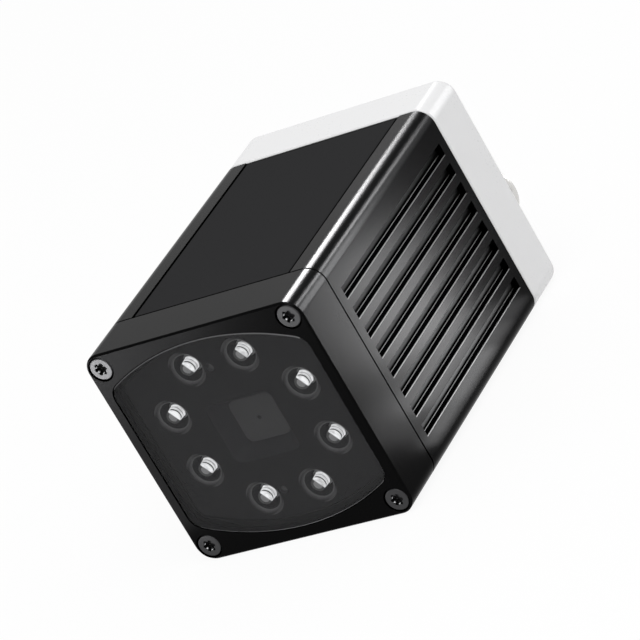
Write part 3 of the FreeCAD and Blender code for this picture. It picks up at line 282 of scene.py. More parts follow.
class Shader:
    """A tree of shader nodes."""

    def __init__(self, tree):
        self.tree = tree

    def node(self, kind, settings=None, inputs=None, output=0):
        """A node with its settings, then the values or links of its sockets."""
        item = self.tree.nodes.new(kind)
        for name, value in (settings or {}).items():
            setattr(item, name, value)
        for key, value in (inputs or {}).items():
            self.feed(item.inputs[key], value)
        return Value(self, item.outputs[output])

    def feed(self, socket, value):
        """Link a value to a socket, or set a plain number or colour on it."""
        if isinstance(value, Value):
            self.tree.links.new(value.socket, socket)
        else:
            socket.default_value = value

    def where(self, stretch):
        """A place on the object, with lengths along each axis multiplied by stretch."""
        spot = self.node("ShaderNodeTexCoord", output="Object")
        return self.node("ShaderNodeMapping", {"vector_type": "POINT"}, {"Vector": spot, "Scale": stretch})

    def grain(self, size, detail=2.0, stretch=(1.0, 1.0, 1.0)):
        """Soft specks of about this size."""
        return self.node("ShaderNodeTexNoise", None,
                         {"Vector": self.where(stretch), "Scale": 1.0 / size, "Detail": detail}, "Fac")

    def cells(self, size):
        """Distance from the middle of the nearest of many scattered spots, in shares of their size."""
        spot = self.where((1.0, 1.0, 1.0))
        return self.node("ShaderNodeTexVoronoi", None, {"Vector": spot, "Scale": 1.0 / size}, "Distance")

    def along(self, axis):
        """Position along an axis of the object, in metres."""
        spot = self.node("ShaderNodeTexCoord", output="Object")
        return self.node("ShaderNodeSeparateXYZ", None, {0: spot}, axis)

    def every(self, value, period):
        """How far a value is into the latest of many equal periods."""
        return self.node("ShaderNodeMath", {"operation": "FLOORED_MODULO"}, {0: value, 1: period})

    def fade(self, value, start, stop):
        """0 up to start, 1 from stop on."""
        return self.node("ShaderNodeMapRange", {"clamp": True},
                         {"Value": value, "From Min": start, "From Max": stop})

    def blend(self, mask, first, second):
        """Two colours mixed by a mask."""
        return self.node("ShaderNodeMix", {"data_type": "RGBA"}, {0: mask, 6: first, 7: second}, 2)

    def relief(self, height, depth, strength=1.0):
        """A surface raised by height times depth, in metres."""
        return self.node("ShaderNodeBump", None,
                         {"Height": height, "Distance": depth, "Strength": strength}, "Normal")


class Finish(Shader):
    """A material on one surface shader, whose constants are set on its own sockets."""

    def __init__(self, name, **constants):
        self.material = bpy.data.materials.new(name)
        self.material.use_nodes = True
        super().__init__(self.material.node_tree)
        self.surface = self.tree.nodes["Principled BSDF"]
        for socket, value in constants.items():
            self.set(socket.replace("_", " ").replace("Ior", "IOR"), value)

    def set(self, socket, value):
        """Set or link one socket of the surface shader."""
        self.feed(self.surface.inputs[socket], value)


def shade(base, factor=1.0):
    """A colour made lighter or darker, as a shader takes it."""
    return tuple(min(1.0, channel * factor) for channel in base[:3]) + (1.0,)


def speckled(name, base, grain, roughness, depth, contrast=0.25, **constants):
    """A fine-grained finish: specks in the colour and gloss, and a little relief."""
    finish = Finish(name, **constants)
    specks = finish.grain(grain)
    drift = finish.grain(60 * grain, detail=3.0)
    finish.set("Base Color", finish.blend(specks, shade(base, 1 - contrast), shade(base, 1 + contrast)))
    finish.set("Roughness", roughness - 0.06 + 0.08 * specks + 0.06 * drift)
    finish.set("Normal", finish.relief(specks, depth))
    return finish.material


def blasted(name, base, grain, roughness, edge_gloss):
    """Blasted and anodised metal: crisp specks, and less gloss at a flat angle than bare metal."""
    finish = Finish(name, Metallic=1.0, Specular_Tint=(edge_gloss, edge_gloss, edge_gloss, 1.0))
    specks = finish.fade(finish.grain(grain), 0.35, 0.65)
    drift = finish.grain(60 * grain, detail=3.0)
    finish.set("Base Color", finish.blend(specks, shade(base, 0.8), shade(base, 1.2)))
    finish.set("Roughness", roughness - 0.04 + 0.03 * specks + 0.05 * drift)
    finish.set("Normal", finish.relief(specks, 1.5e-6))
    return finish.material


def brushed(name, base, roughness, stretch):
    """Metal with fine tool marks drawn out along one axis."""
    finish = Finish(name, Metallic=1.0)
    marks = finish.grain(0.15 * MM, detail=3.0, stretch=stretch)
    drift = finish.grain(4 * MM, detail=2.0)
    finish.set("Base Color", finish.blend(drift, shade(base, 0.9), shade(base, 1.1)))
    finish.set("Roughness", roughness - 0.08 + 0.12 * marks + 0.06 * drift)
    finish.set("Normal", finish.relief(marks, 2e-6, 0.6))
    return finish.material


def circuit(name, mask, tracks, vias):
    """Solder mask with fine tracks showing through and plated vias."""
    tracks_per_metre, track_width = 260.0, 0.028
    via_spacing, via_share = 3.1 * MM, 0.09
    patch_size = 7 * MM
    finish = Finish(name, Coat_Weight=0.3, Coat_Roughness=0.2)
    lines = finish.node("ShaderNodeTexBrick", {"offset": 0.5, "squash": 0.6, "squash_frequency": 3},
                        {"Vector": finish.where((1.0, 0.0, 1.0)), "Scale": tracks_per_metre,
                         "Mortar Size": track_width, "Mortar Smooth": 0.2}, "Fac")
    holes = finish.cells(via_spacing) < via_share
    patches = finish.fade(finish.grain(patch_size), 0.42, 0.5)
    tint = finish.blend(lines * patches, shade(mask), shade(tracks))
    finish.set("Base Color", finish.blend(holes, tint, shade(vias)))
    finish.set("Metallic", holes)
    finish.set("Roughness", 0.38 + 0.12 * finish.grain(0.4 * MM))
    finish.set("Normal", finish.relief(lines * patches, 2e-5, 0.5))
    return finish.material


def clear(name, tint, roughness, dust, **constants):
    """Clear glass or plastic, very slightly uneven."""
    finish = Finish(name, Transmission_Weight=1.0, **constants)
    drift = finish.grain(dust)
    finish.set("Base Color", finish.blend(drift, shade(tint, 0.97), shade(tint, 1.02)))
    finish.set("Roughness", roughness + 0.02 * drift)
    return finish.material


def smooth_copy(node):
    """A copy of a CAD node's mesh with its corners merged and its sharp edges marked."""
    source = frame["nodes"][node]
    mesh = bpy.data.meshes.new(f"{node}_finished")
    shell = bmesh.new()
    shell.from_mesh(source.data)
    bmesh.ops.remove_doubles(shell, verts=shell.verts, dist=1e-6)
    for face in shell.faces:
        face.smooth = True
    for edge in shell.edges:
        edge.smooth = edge.is_manifold and edge.calc_face_angle() < SHARP
    shell.to_mesh(mesh)
    shell.free()
    return mesh


def add_piece(name, mesh, material, *nodes):
    """Put a mesh in the scene in the place of some CAD nodes, on the body of the first."""
    mesh.materials.clear()
    mesh.materials.append(material)
    piece = bpy.data.objects.new(name, mesh)
    bpy.context.scene.collection.objects.link(piece)
    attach(piece, BODY_OF[nodes[0]])
    return piece


def weigh_normals(piece):
    """Keep flat faces flat next to rounded ones."""
    weighted = piece.modifiers.new("Even shading", "WEIGHTED_NORMAL")
    weighted.mode = "FACE_AREA"
    weighted.weight = 100
    weighted.keep_sharp = True


def round_edges(piece, rounding, angle):
    """Finely round the edges of a piece that are sharper than an angle."""
    bevel = piece.modifiers.new("Rounded edges", "BEVEL")
    bevel.width = rounding
    bevel.segments = 2
    bevel.limit_method = "ANGLE"
    bevel.angle_limit = angle
    bevel.use_clamp_overlap = False
    return bevel


def soften(node, material, rounding, edge_material=None):
    """Stand a smooth copy with finely rounded edges in for a CAD node."""
    piece = add_piece(f"{node}_finished", smooth_copy(node), material, node)
    if rounding:
        bevel = round_edges(piece, rounding, SHARP)
        if edge_material:
            piece.data.materials.append(edge_material)
            bevel.material = 1
    weigh_normals(piece)
    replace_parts(piece, node)
    return piece


def paint_faces(piece, material, chosen):
    """Give the chosen faces of a piece a finish of their own."""
    piece.data.materials.append(material)
    for face in piece.data.polygons:
        if chosen(face):
            face.material_index = len(piece.data.materials) - 1


def paint(node, material):
    """Give a CAD node a finish."""
    item = frame["nodes"][node]
    if not item.material_slots:
        item.data.materials.append(material)
    for material_slot in item.material_slots:
        material_slot.material = material


def stations(outline, face):
    """An outline in millimetres behind a face as (radius, station) in metres."""
    return [(radius * MM, face + distance * MM) for radius, distance in outline]


def lathe(mesh, outline, centre, steps):
    """Turn a closed outline of (radius, station) about a line through centre along Y."""
    verts = [mesh.verts.new((centre.x + radius, station, centre.z)) for radius, station in outline]
    edges = [mesh.edges.new(pair) for pair in zip(verts, verts[1:] + verts[:1])]
    bmesh.ops.spin(mesh, geom=verts + edges, cent=centre, axis=(0, 1, 0), angle=math.tau, steps=steps,
                   use_merge=True)


def helix(mesh, outline, centre, pitch, turns, steps):
    """Sweep an outline of (radius, station) up a screw line about a line through centre along Y."""
    verts = [mesh.verts.new((centre.x + radius, station, centre.z)) for radius, station in outline]
    edges = [mesh.edges.new(pair) for pair in zip(verts, verts[1:] + verts[:1])]
    swept = bmesh.ops.spin(mesh, geom=verts + edges, cent=centre, axis=(0, 1, 0), angle=math.tau * turns,
                           dvec=(0, pitch / steps, 0), steps=round(turns * steps))
    ends = edges + [item for item in swept["geom_last"] if isinstance(item, bmesh.types.BMEdge)]
    bmesh.ops.holes_fill(mesh, edges=ends, sides=len(outline))


def finished(shape, name):
    """A mesh from a bmesh, closed at its seams, facing outwards and smooth up to its sharp edges."""
    bmesh.ops.remove_doubles(shape, verts=shape.verts, dist=1e-7)
    bmesh.ops.recalc_face_normals(shape, faces=shape.faces)
    for face in shape.faces:
        face.smooth = True
    for edge in shape.edges:
        edge.smooth = edge.is_manifold and edge.calc_face_angle() < SHARP_TURNED
    mesh = bpy.data.meshes.new(name)
    shape.to_mesh(mesh)
    shape.free()
    return mesh


def mark_sides(shape, centres, direction, reach):
    """Store on each point how far it lies from the nearest centre in a direction, in shares of reach."""
    facing = shape.verts.layers.float.new("facing")
    for vert in shape.verts:
        offset = min(((vert.co - centre).xz for centre in centres), key=lambda gap: gap.length)
        vert[facing] = offset.dot(direction) / reach


def led_centres():
    """The axis of each LED, from the front, on the ring that the CAD node spans."""
    low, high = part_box("led_bases")
    middle = (low + high) / 2
    step = math.tau / LED_COUNT
    radius = ((high.x - low.x) / 2 - LED_BASE_RADIUS * MM) / math.cos(step / 2)
    turns = [step / 2 + step * number for number in range(LED_COUNT)]
    return [Vector((middle.x + radius * math.cos(turn), 0, middle.z + radius * math.sin(turn)))
            for turn in turns]


class SENSOR_OT_shells(bpy.types.Operator):
    """Dress the front frame, the main housing and the rear cover."""

    bl_idname = "sensor.shells"
    bl_label = "Shells"

    def execute(self, context):
        colours, sizes = context.scene.sensor_colours, context.scene.sensor_sizes
        anodised = blasted("anodised_black", colours.anodised, sizes.grain, roughness=0.25, edge_gloss=0.58)
        paint_coat = speckled("cover_paint", colours.cover, sizes.peel, roughness=0.28, depth=6e-6,
                              contrast=0.01, Specular_Ior_Level=0.5)
        soften("front_frame", anodised, sizes.edge_rounding)
        housing = soften("main_housing", anodised, 0.0)
        # Painted highlight on the lips and feet of the slots, darker towards the rear as painted shade.
        slot_highlight, tint = self.shaded_towards_rear("slot_edge_highlight", colours.slot_edge_highlight, gloss=0.1, rear_share=0.15)
        slot_highlight.set("Base Color", tint)
        paint_faces(housing, slot_highlight.material, lambda face: self.is_bright_edge(face, sizes))
        # Slot floors darker towards the rear as painted shade, with a painted shadow along the foot of
        # each.
        floor, tint = self.shaded_towards_rear("slot_floor", colours.slot_floor, gloss=0.0, rear_share=0.05)
        self.shadow_feet(floor, tint, sizes)
        paint_faces(housing, floor.material, lambda face: self.is_slot_floor(face, sizes))
        self.round_rim(soften("rear_cover", paint_coat, sizes.cover_rounding), sizes)
        return {"FINISHED"}

    def shaded_towards_rear(self, name, base, gloss, rear_share):
        """A dull finish in the slots, and its colour, darker towards the rear as painted shade, where only
        a share is left.
        """
        finish = Finish(name, Roughness=0.5, Specular_Ior_Level=gloss)
        uneven = 6 * MM * finish.grain(4 * MM)
        rearward = finish.fade(finish.along(1) + uneven, -12 * MM, 24 * MM)
        return finish, finish.blend(rearward, shade(base), shade(base, rear_share))

    def shadow_feet(self, floor, tint, sizes):
        """Paint shadow on the lower edge of each slot floor, where it meets the wall below."""
        height = floor.every(floor.along(2) - MIDDLE_HEIGHT, sizes.slot_pitch)
        foot = (sizes.slot_pitch - sizes.slot_width) / 2
        lit = floor.fade(height, foot + 0.55 * MM, foot + 0.85 * MM)
        near_black = (0.002, 0.002, 0.002, 1.0)
        floor.set("Base Color", floor.blend(lit, near_black, tint))

    def round_rim(self, cover, sizes):
        """Round the front rim of the cover more than its other edges."""
        rim = 0.94
        low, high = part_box("rear_cover")
        middle, half = (low + high) / 2, (high - low) / 2
        weights = cover.data.attributes.new("bevel_weight_edge", "FLOAT", "EDGE")
        for edge, weight in zip(cover.data.edges, weights.data):
            ends = [cover.data.vertices[index].co - middle for index in edge.vertices]
            outer = all(max(abs(end.x) / half.x, abs(end.z) / half.z) > rim for end in ends)
            front = all(end.y < 0.05 * MM - half.y for end in ends)
            if edge.use_edge_sharp:
                weight.value = 1.0 if outer and front else sizes.edge_rounding / sizes.cover_rounding
        cover.modifiers["Rounded edges"].limit_method = "WEIGHT"

    def slot_inset(self, face, sizes):
        """How deep a face of the housing lies in the slotted part of a side, or none elsewhere."""
        above = abs(face.center.z - MIDDLE_HEIGHT)
        if above > sizes.slot_reach or abs(face.normal.y) > 0.1:
            return None
        return CAD_BOX[1][0] - abs(face.center.x)

    def is_bright_edge(self, face, sizes):
        """Whether a face of the housing is on the lower lip of a slot or at the foot of its wall, where a
        highlight is painted.
        """
        inset = self.slot_inset(face, sizes)
        if inset is None:
            return False
        lip = inset < sizes.slot_lip and 0.5 < face.normal.z < 0.9
        foot = sizes.slot_lip < inset < 2 * MM and 0.4 < face.normal.z < 0.7
        return lip or foot

    def is_slot_floor(self, face, sizes):
        """Whether a face of the housing is the floor of a cooling slot."""
        inset = self.slot_inset(face, sizes)
        if inset is None or face.normal.x * face.center.x < 0:
            return False
        return sizes.slot_lip < inset < 3 * MM and abs(face.normal.x) > 0.9


class SENSOR_OT_label(bpy.types.Operator):
    """Dress the bare label panel."""

    bl_idname = "sensor.label"
    bl_label = "Label panel"

    def execute(self, context):
        # Dress the bare label panel, with painted shadow in the gap along its edges.
        colours, sizes = context.scene.sensor_colours, context.scene.sensor_sizes
        black = shade(colours.rubber, 0.2)
        film = Finish("label_film", Specular_Ior_Level=0.0)
        specks = film.grain(sizes.film_grain)
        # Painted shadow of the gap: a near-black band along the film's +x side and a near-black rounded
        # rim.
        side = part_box("label_panel")[1].x - 2.0 * sizes.label_shadow_rim
        blur = 0.01 * MM
        gap_shadow = film.fade(film.along(0), side - blur, side + blur)
        matt = film.blend(specks, shade(colours.label, 0.8), shade(colours.label, 1.2))
        film.set("Base Color", film.blend(gap_shadow, matt, black))
        film.set("Roughness", 0.5 + 0.1 * specks)
        film.set("Normal", film.relief(specks, 4e-6))
        rim = speckled("label_shadow_rim", black, sizes.film_grain, roughness=0.8, depth=2e-6, contrast=0.2,
                       Specular_Ior_Level=0.0)
        soften("label_panel", film.material, sizes.label_shadow_rim, rim)
        return {"FINISHED"}


class SENSOR_OT_window(bpy.types.Operator):
    """Dress the front window and its seal."""

    bl_idname = "sensor.window"
    bl_label = "Window"

    def execute(self, context):
        colours = context.scene.sensor_colours
        pane = Finish("window_pane", Specular_Ior_Level=0.43)
        drift = pane.grain(9 * MM, detail=2.0)
        pane.set("Base Color", pane.blend(drift, shade(colours.window, 0.9), shade(colours.window, 1.1)))
        pane.set("Roughness", 0.10 + 0.03 * drift)
        pane.set("Alpha", 0.34 + 0.02 * drift)
        # Painted highlight on the chamfered edge of the pane, four times brighter towards the bottom and
        # the left.
        pane_edge_highlight = Finish("window_edge_highlight", Roughness=0.5)
        low = 1 - pane_edge_highlight.fade(pane_edge_highlight.along(2), 10 * MM, 30 * MM)
        uneven = 2 * MM * pane_edge_highlight.grain(0.4 * MM)
        left = 1 - pane_edge_highlight.fade(pane_edge_highlight.along(0) + uneven, 4 * MM, 16 * MM)
        dark, light = shade(colours.window_edge_highlight), shade(colours.window_edge_highlight, 4.0)
        pane_edge_highlight.set("Base Color", pane_edge_highlight.blend(low * left, dark, light))
        window = soften("front_window", pane.material, 0.0)
        paint_faces(window, pane_edge_highlight.material, lambda face: face.normal.y < -0.3 and abs(face.normal.z) > 0.5)
        rubber = speckled("seal_rubber", colours.rubber, 0.12 * MM, roughness=0.8, depth=6e-6, contrast=0.3)
        for node in ("window_seal", "front_gasket", "rear_gasket", "connector_rings"):
            paint(node, rubber)
        return {"FINISHED"}


class SENSOR_OT_lighting(bpy.types.Operator):
    """Model the LEDs with their discs and cup lips, and dress the light shield, bases and board."""

    bl_idname = "sensor.lighting"
    bl_label = "Lighting"

    def execute(self, context):
        colours, sizes = context.scene.sensor_colours, context.scene.sensor_sizes
        shield = soften("light_shield", self.moulded("shield_black", colours.shield), sizes.edge_rounding)
        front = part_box("light_shield")[0].y + 0.05 * MM
        # Painted light: the sight recess's tapered walls and the LED cups' walls get copies of the shield's
        # black, four and ten times lighter.
        paint_faces(shield, self.moulded("sight_taper_painted_light", shade(colours.shield, 4.0)),
                    lambda face: face.center.y > front and -0.95 < face.normal.y < -0.05)
        paint_faces(shield, self.moulded("cup_walls_painted_light", shade(colours.shield, 10.0)),
                    lambda face: face.center.y > front and abs(face.normal.y) < 0.05)
        grey = speckled("aperture_grey", colours.aperture, 0.2 * MM, roughness=0.6, depth=5e-6,
                        contrast=0.15)
        paint("aperture_plate", grey)
        paint("led_board", circuit("led_board_mask", colours.mask, colours.plastic, colours.gold))
        self.leds(colours)
        self.lips(colours)
        smoke = speckled("aiming_lens", shade(colours.led_disc, 0.25), 0.3 * MM, roughness=0.25,
                         depth=2e-6, contrast=0.2)
        soften("aiming_lights", smoke, 0.0)
        return {"FINISHED"}

    def moulded(self, name, base):
        """Dull moulded plastic."""
        return speckled(name, base, 0.3 * MM, roughness=0.6, depth=0.0, contrast=0.1,
                        Specular_Ior_Level=0.1)

    def leds(self, colours):
        """Each LED is a conical clear lens with a rounded rim, on a white base with a collar."""
        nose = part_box("led_lenses")[0].y
        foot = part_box("led_lenses")[1].y
        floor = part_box("led_bases")[1].y
        lens = stations(LENS_RIM, nose) + stations(LENS_SKIRT, foot) + stations(LENS_HOLLOW, nose)
        disc = stations(DISC_OUTLINE, nose)
        base = stations(BASE_COLLAR, foot) + stations(BASE_FOOT, floor)
        lens_shape, disc_shape, base_shape = bmesh.new(), bmesh.new(), bmesh.new()
        for centre in led_centres():
            for shape, outline in ((lens_shape, lens), (disc_shape, disc), (base_shape, base)):
                lathe(shape, outline, centre, LED_STEPS)
        for shape in (lens_shape, disc_shape):
            mark_sides(shape, led_centres(), Vector(LED_FACING), LED_REACH * MM)
        # The lens and the disc get a painted highlight that glows on the side facing the light, and a faint
        # painted glow elsewhere.
        lit = colours.led
        clear_lens = self.painted_highlight_finish("led_lens", shade(lit, 0.12), shade(lit, 0.02), lit, nose)
        plain = colours.led_disc
        grey = self.painted_highlight_finish("led_disc", shade(plain), shade(plain, 0.12), lit, nose)
        white = speckled("led_base", lit, 0.2 * MM, roughness=0.45, depth=3e-6, contrast=0.08)
        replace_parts(add_piece("led_lens_bodies", finished(lens_shape, "led_lens_bodies"),
                              clear_lens, "led_lenses"), "led_lenses")
        add_piece("led_front_discs", finished(disc_shape, "led_front_discs"), grey, "led_lenses")
        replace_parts(add_piece("led_base_collars", finished(base_shape, "led_base_collars"),
                              white, "led_bases"), "led_bases")

    def painted_highlight_finish(self, name, dull, dim, bright, nose):
        """A finish with a painted highlight that glows where it faces the light, broken by painted lines of
        shade, and a faint painted glow elsewhere.
        """
        finish = Finish(name, Roughness=0.15, Emission_Strength=1.8)
        streaks = finish.fade(finish.grain(0.5 * MM, detail=2.0, stretch=(0.5, 2.0, 0.5)), 0.3, 0.6)
        facing = finish.node("ShaderNodeAttribute", {"attribute_name": "facing"}, None, "Fac")
        station = finish.along(1)
        near, far = (self.band(finish, station, nose + start * MM, nose + stop * MM)
                     for start, stop in (NEAR_SHADE_LINE, FAR_SHADE_LINE))
        shade_lines = (near + 0.6 * far) * finish.fade(facing, 0.35, 0.6)
        tail = finish.fade(station, nose + HIGHLIGHT_END[0] * MM, nose + HIGHLIGHT_END[1] * MM)
        painted_highlight = finish.fade(facing, 0.22, 0.34) * (0.5 + 0.5 * streaks) * (1 - shade_lines) * (1 - tail)
        finish.set("Base Color", finish.blend(painted_highlight, dull, shade(bright)))
        finish.set("Emission Color", finish.blend(painted_highlight, dim, shade(bright)))
        return finish.material

    def band(self, finish, station, start, stop):
        """1 between two stations, with soft ends."""
        soft = 0.06 * MM
        return finish.fade(station, start, start + soft) - finish.fade(station, stop - soft, stop)

    def lips(self, colours):
        """A thin rim of painted light on the flared lip of each LED cup: black at the front, lighter
        further in and at two opposite ends.
        """
        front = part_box("light_shield")[0].y
        shape = bmesh.new()
        for centre in led_centres():
            lathe(shape, stations(LIP_OUTLINE, front), centre, LIP_STEPS)
        mark_sides(shape, led_centres(), Vector(CUP_FACING), LIP_RADIUS * MM)
        rim = Finish("cup_lip", Specular_Ior_Level=0.2)
        uneven = 0.15 * MM * rim.grain(0.8 * MM)
        inward = rim.fade(rim.along(1) + uneven, front + 0.1 * MM, front + LIP_DEPTH * MM)
        facing = rim.node("ShaderNodeAttribute", {"attribute_name": "facing"}, None, "Fac")
        ends = 0.5 * rim.fade(facing * facing, 0.50, 0.80)
        rim.set("Base Color", rim.blend(inward.either(ends), shade(colours.shield), shade(colours.cup_lip)))
        rim.set("Roughness", 0.35 + 0.1 * rim.grain(0.2 * MM))
        add_piece("led_cup_lips", finished(shape, "led_cup_lips"), rim.material, "light_shield")


class SENSOR_OT_screws(bpy.types.Operator):
    """Dress the cap screws and the board screws."""

    bl_idname = "sensor.screws"
    bl_label = "Screws"

    def execute(self, context):
        colours, sizes = context.scene.sensor_colours, context.scene.sensor_sizes
        steel = brushed("screw_steel", colours.screw, roughness=0.34, stretch=(1.0, 1.0, 0.2))
        for node in ("rear_screws", "board_screws"):
            soften(node, steel, sizes.edge_rounding)
        screws = soften("front_screws", steel, sizes.edge_rounding)
        # Painted glints on the ribs of each front screw's socket, with painted shade deeper in.
        paint_faces(screws, self.socket_glints(colours.can), self.rib_finder(sizes))
        return {"FINISHED"}

    def socket_glints(self, base):
        """Painted glints on the ribs at the mouth of a socket, and painted shade further in."""
        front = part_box("front_screws")[0].y
        finish = Finish("socket_rib_glints", Roughness=0.35)
        inward = finish.fade(finish.along(1), front + 0.2 * MM, front + 0.5 * MM)
        finish.set("Base Color", finish.blend(inward, shade(base, 1.4), shade(base, 0.01)))
        return finish.material

    def rib_finder(self, sizes):
        """A test for the faces on the ribs between the lobes of a front screw's socket."""
        low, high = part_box("front_screws")
        middle, half = (low + high) / 2, (high - low) / 2
        inset = sizes.screw_head / 2
        nearest, furthest = (radius * MM for radius in SOCKET_RIBS)

        def is_rib(face):
            spot = face.center - middle
            offset = math.hypot(half.x - inset - abs(spot.x), half.z - inset - abs(spot.z))
            shallow = face.center.y < low.y + sizes.socket_depth
            return shallow and abs(face.normal.y) < 0.1 and nearest < offset < furthest

        return is_rib


class SENSOR_OT_connectors(bpy.types.Operator):
    """Model the threaded connector shells and dress what they hold."""

    bl_idname = "sensor.connectors"
    bl_label = "Connectors"

    def execute(self, context):
        colours, sizes = context.scene.sensor_colours, context.scene.sensor_sizes
        nickel = brushed("nickel_plate", colours.nickel, roughness=0.24, stretch=(1.0, 3.0, 1.0))
        self.threads("plug_shell", nickel, sizes, keyed=True)
        self.threads("socket_shell", nickel, sizes, keyed=False)
        soften("connector_nuts", nickel, sizes.edge_rounding)
        black = speckled("insert_black", colours.plastic, 0.15 * MM, roughness=0.5, depth=5e-6,
                         contrast=0.25)
        gold = brushed("contact_gold", colours.gold, roughness=0.25, stretch=(1.0, 0.3, 1.0))
        for name in ("plug", "socket"):
            soften(f"{name}_insert", black, sizes.edge_rounding)
            soften(f"{name}_contacts", gold, sizes.edge_rounding)
        pipes = clear("status_pipe", colours.glass, roughness=0.18, dust=0.6 * MM, IOR=1.49)
        soften("status_pipes", pipes, sizes.edge_rounding)
        return {"FINISHED"}

    def threads(self, node, material, sizes, keyed):
        """A shell turned to the depth of its thread, with the ridge wound on it and perhaps a key."""
        low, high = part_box(node)
        centre = (low + high) / 2
        crest = 6.0 * MM
        core = crest - sizes.thread_depth
        flange = (high.x - low.x) / 2
        flange_front = high.y - 10.1 * MM
        flange_rear = high.y - 8.3 * MM
        end = high.y - 1.2 * MM
        chamfer = 0.6 * MM
        bore = 4.4 * MM
        shape = bmesh.new()
        lathe(shape, [(bore, low.y), (crest, low.y), (crest, flange_front), (flange, flange_front),
                      (flange, flange_rear), (core, flange_rear), (core, end - sizes.thread_depth),
                      (crest, end), (crest, high.y - chamfer), (crest - chamfer, high.y),
                      (bore, high.y)], centre, SHELL_STEPS)
        half = sizes.thread_pitch * 0.44
        start = flange_rear + 0.5 * MM
        tip = 0.06 * MM
        root = core - 0.05 * MM
        quarters = math.floor((end - half - start) / sizes.thread_pitch * 4)
        ridge = [(root, start - half), (crest, start - tip), (crest, start + tip), (root, start + half)]
        helix(shape, ridge, centre, sizes.thread_pitch, quarters / 4, sizes.thread_steps)
        if keyed:
            key_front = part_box("plug_insert")[1].y + 0.1 * MM
            key_rear = high.y - chamfer
            spot = Vector((centre.x, (key_front + key_rear) / 2, centre.z + bore))
            block = Matrix.LocRotScale(spot, None, Vector((1.0 * MM, key_rear - key_front, 1.6 * MM)))
            bmesh.ops.create_cube(shape, size=1.0, matrix=block)
        piece = add_piece(f"{node}_threaded", finished(shape, f"{node}_threaded"), material, node)
        round_edges(piece, sizes.edge_rounding, SHARP_THREADED)
        weigh_normals(piece)
        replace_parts(piece, node)


class SENSOR_OT_optics(bpy.types.Operator):
    """Dress the optics and the focus drive, and wind the thread on the lead screw."""

    bl_idname = "sensor.optics"
    bl_label = "Optics"

    def execute(self, context):
        colours, sizes = context.scene.sensor_colours, context.scene.sensor_sizes
        moulded = speckled("carrier_plastic", colours.plastic, 0.2 * MM, roughness=0.55, depth=6e-6,
                           contrast=0.25)
        for node in ("optics_carrier", "focus_arm"):
            soften(node, moulded, sizes.edge_rounding)
        black = speckled("barrel_black", colours.anodised, 0.12 * MM, roughness=0.42, depth=4e-6,
                         contrast=0.3)
        for node in ("lens_barrel", "lens_ring"):
            soften(node, black, sizes.edge_rounding)
        glass = clear("lens_glass", colours.glass, roughness=0.01, dust=5 * MM, IOR=1.52)
        for node in ("front_lens", "rear_lens", "sensor_glass"):
            soften(node, glass, 0.0)
        steel = brushed("drive_steel", colours.steel, roughness=0.3, stretch=(1.0, 4.0, 1.0))
        for node in ("focus_motor", "guide_pin"):
            soften(node, steel, sizes.edge_rounding)
        self.drive(steel, sizes)
        return {"FINISHED"}

    def drive(self, material, sizes):
        """The lead screw, turned to the depth of its thread, with the ridge wound on it."""
        low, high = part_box("lead_screw")
        centre = (low + high) / 2
        crest = (high.x - low.x) / 2
        core = crest - sizes.drive_depth
        shaft = 0.75 * MM
        collar = high.y - 5.4 * MM
        shape = bmesh.new()
        lathe(shape, [(HAIR * MM, low.y), (shaft, low.y), (shaft, collar), (core, collar), (core, high.y),
                      (HAIR * MM, high.y)], centre, DRIVE_STEPS)
        half = sizes.drive_pitch * 0.42
        tip = 0.05 * MM
        root = core - 0.02 * MM
        start = collar + half
        turns = math.floor((high.y - half - start) / sizes.drive_pitch)
        ridge = [(root, start - half), (crest, start - tip), (crest, start + tip), (root, start + half)]
        helix(shape, ridge, centre, sizes.drive_pitch, turns, sizes.thread_steps)
        mesh = finished(shape, "lead_screw_threaded")
        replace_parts(add_piece("lead_screw_threaded", mesh, material, "lead_screw"), "lead_screw")


class SENSOR_OT_boards(bpy.types.Operator):
    """Dress the circuit boards and what stands on them."""

    bl_idname = "sensor.boards"
    bl_label = "Boards"

    def execute(self, context):
        colours, sizes = context.scene.sensor_colours, context.scene.sensor_sizes
        green = circuit("board_green", colours.board, colours.copper, colours.gold)
        for node in ("sensor_board", "main_board", "power_board"):
            paint(node, green)
        package = speckled("chip_black", colours.plastic, 0.1 * MM, roughness=0.6, depth=4e-6, contrast=0.3)
        for node in ("image_sensor", "processor", "memory_chips", "inductor"):
            soften(node, package, 2 * sizes.edge_rounding)
        aluminium = brushed("capacitor_can", colours.can, roughness=0.34, stretch=(1.0, 4.0, 1.0))
        soften("capacitors", aluminium, sizes.edge_rounding)
        moulded = speckled("link_black", colours.plastic, 0.2 * MM, roughness=0.5, depth=5e-6, contrast=0.2)
        soften("board_links", moulded, sizes.edge_rounding)
        brass = brushed("spacer_brass", colours.brass, roughness=0.28, stretch=(1.0, 4.0, 1.0))
        for node in ("front_spacers", "middle_spacers", "rear_spacers"):
            soften(node, brass, sizes.edge_rounding)
        film = speckled("flex_film", colours.flex, 0.4 * MM, roughness=0.3, depth=3e-6, contrast=0.15)
        for node in ("led_flex", "motor_flex"):
            paint(node, film)
        return {"FINISHED"}


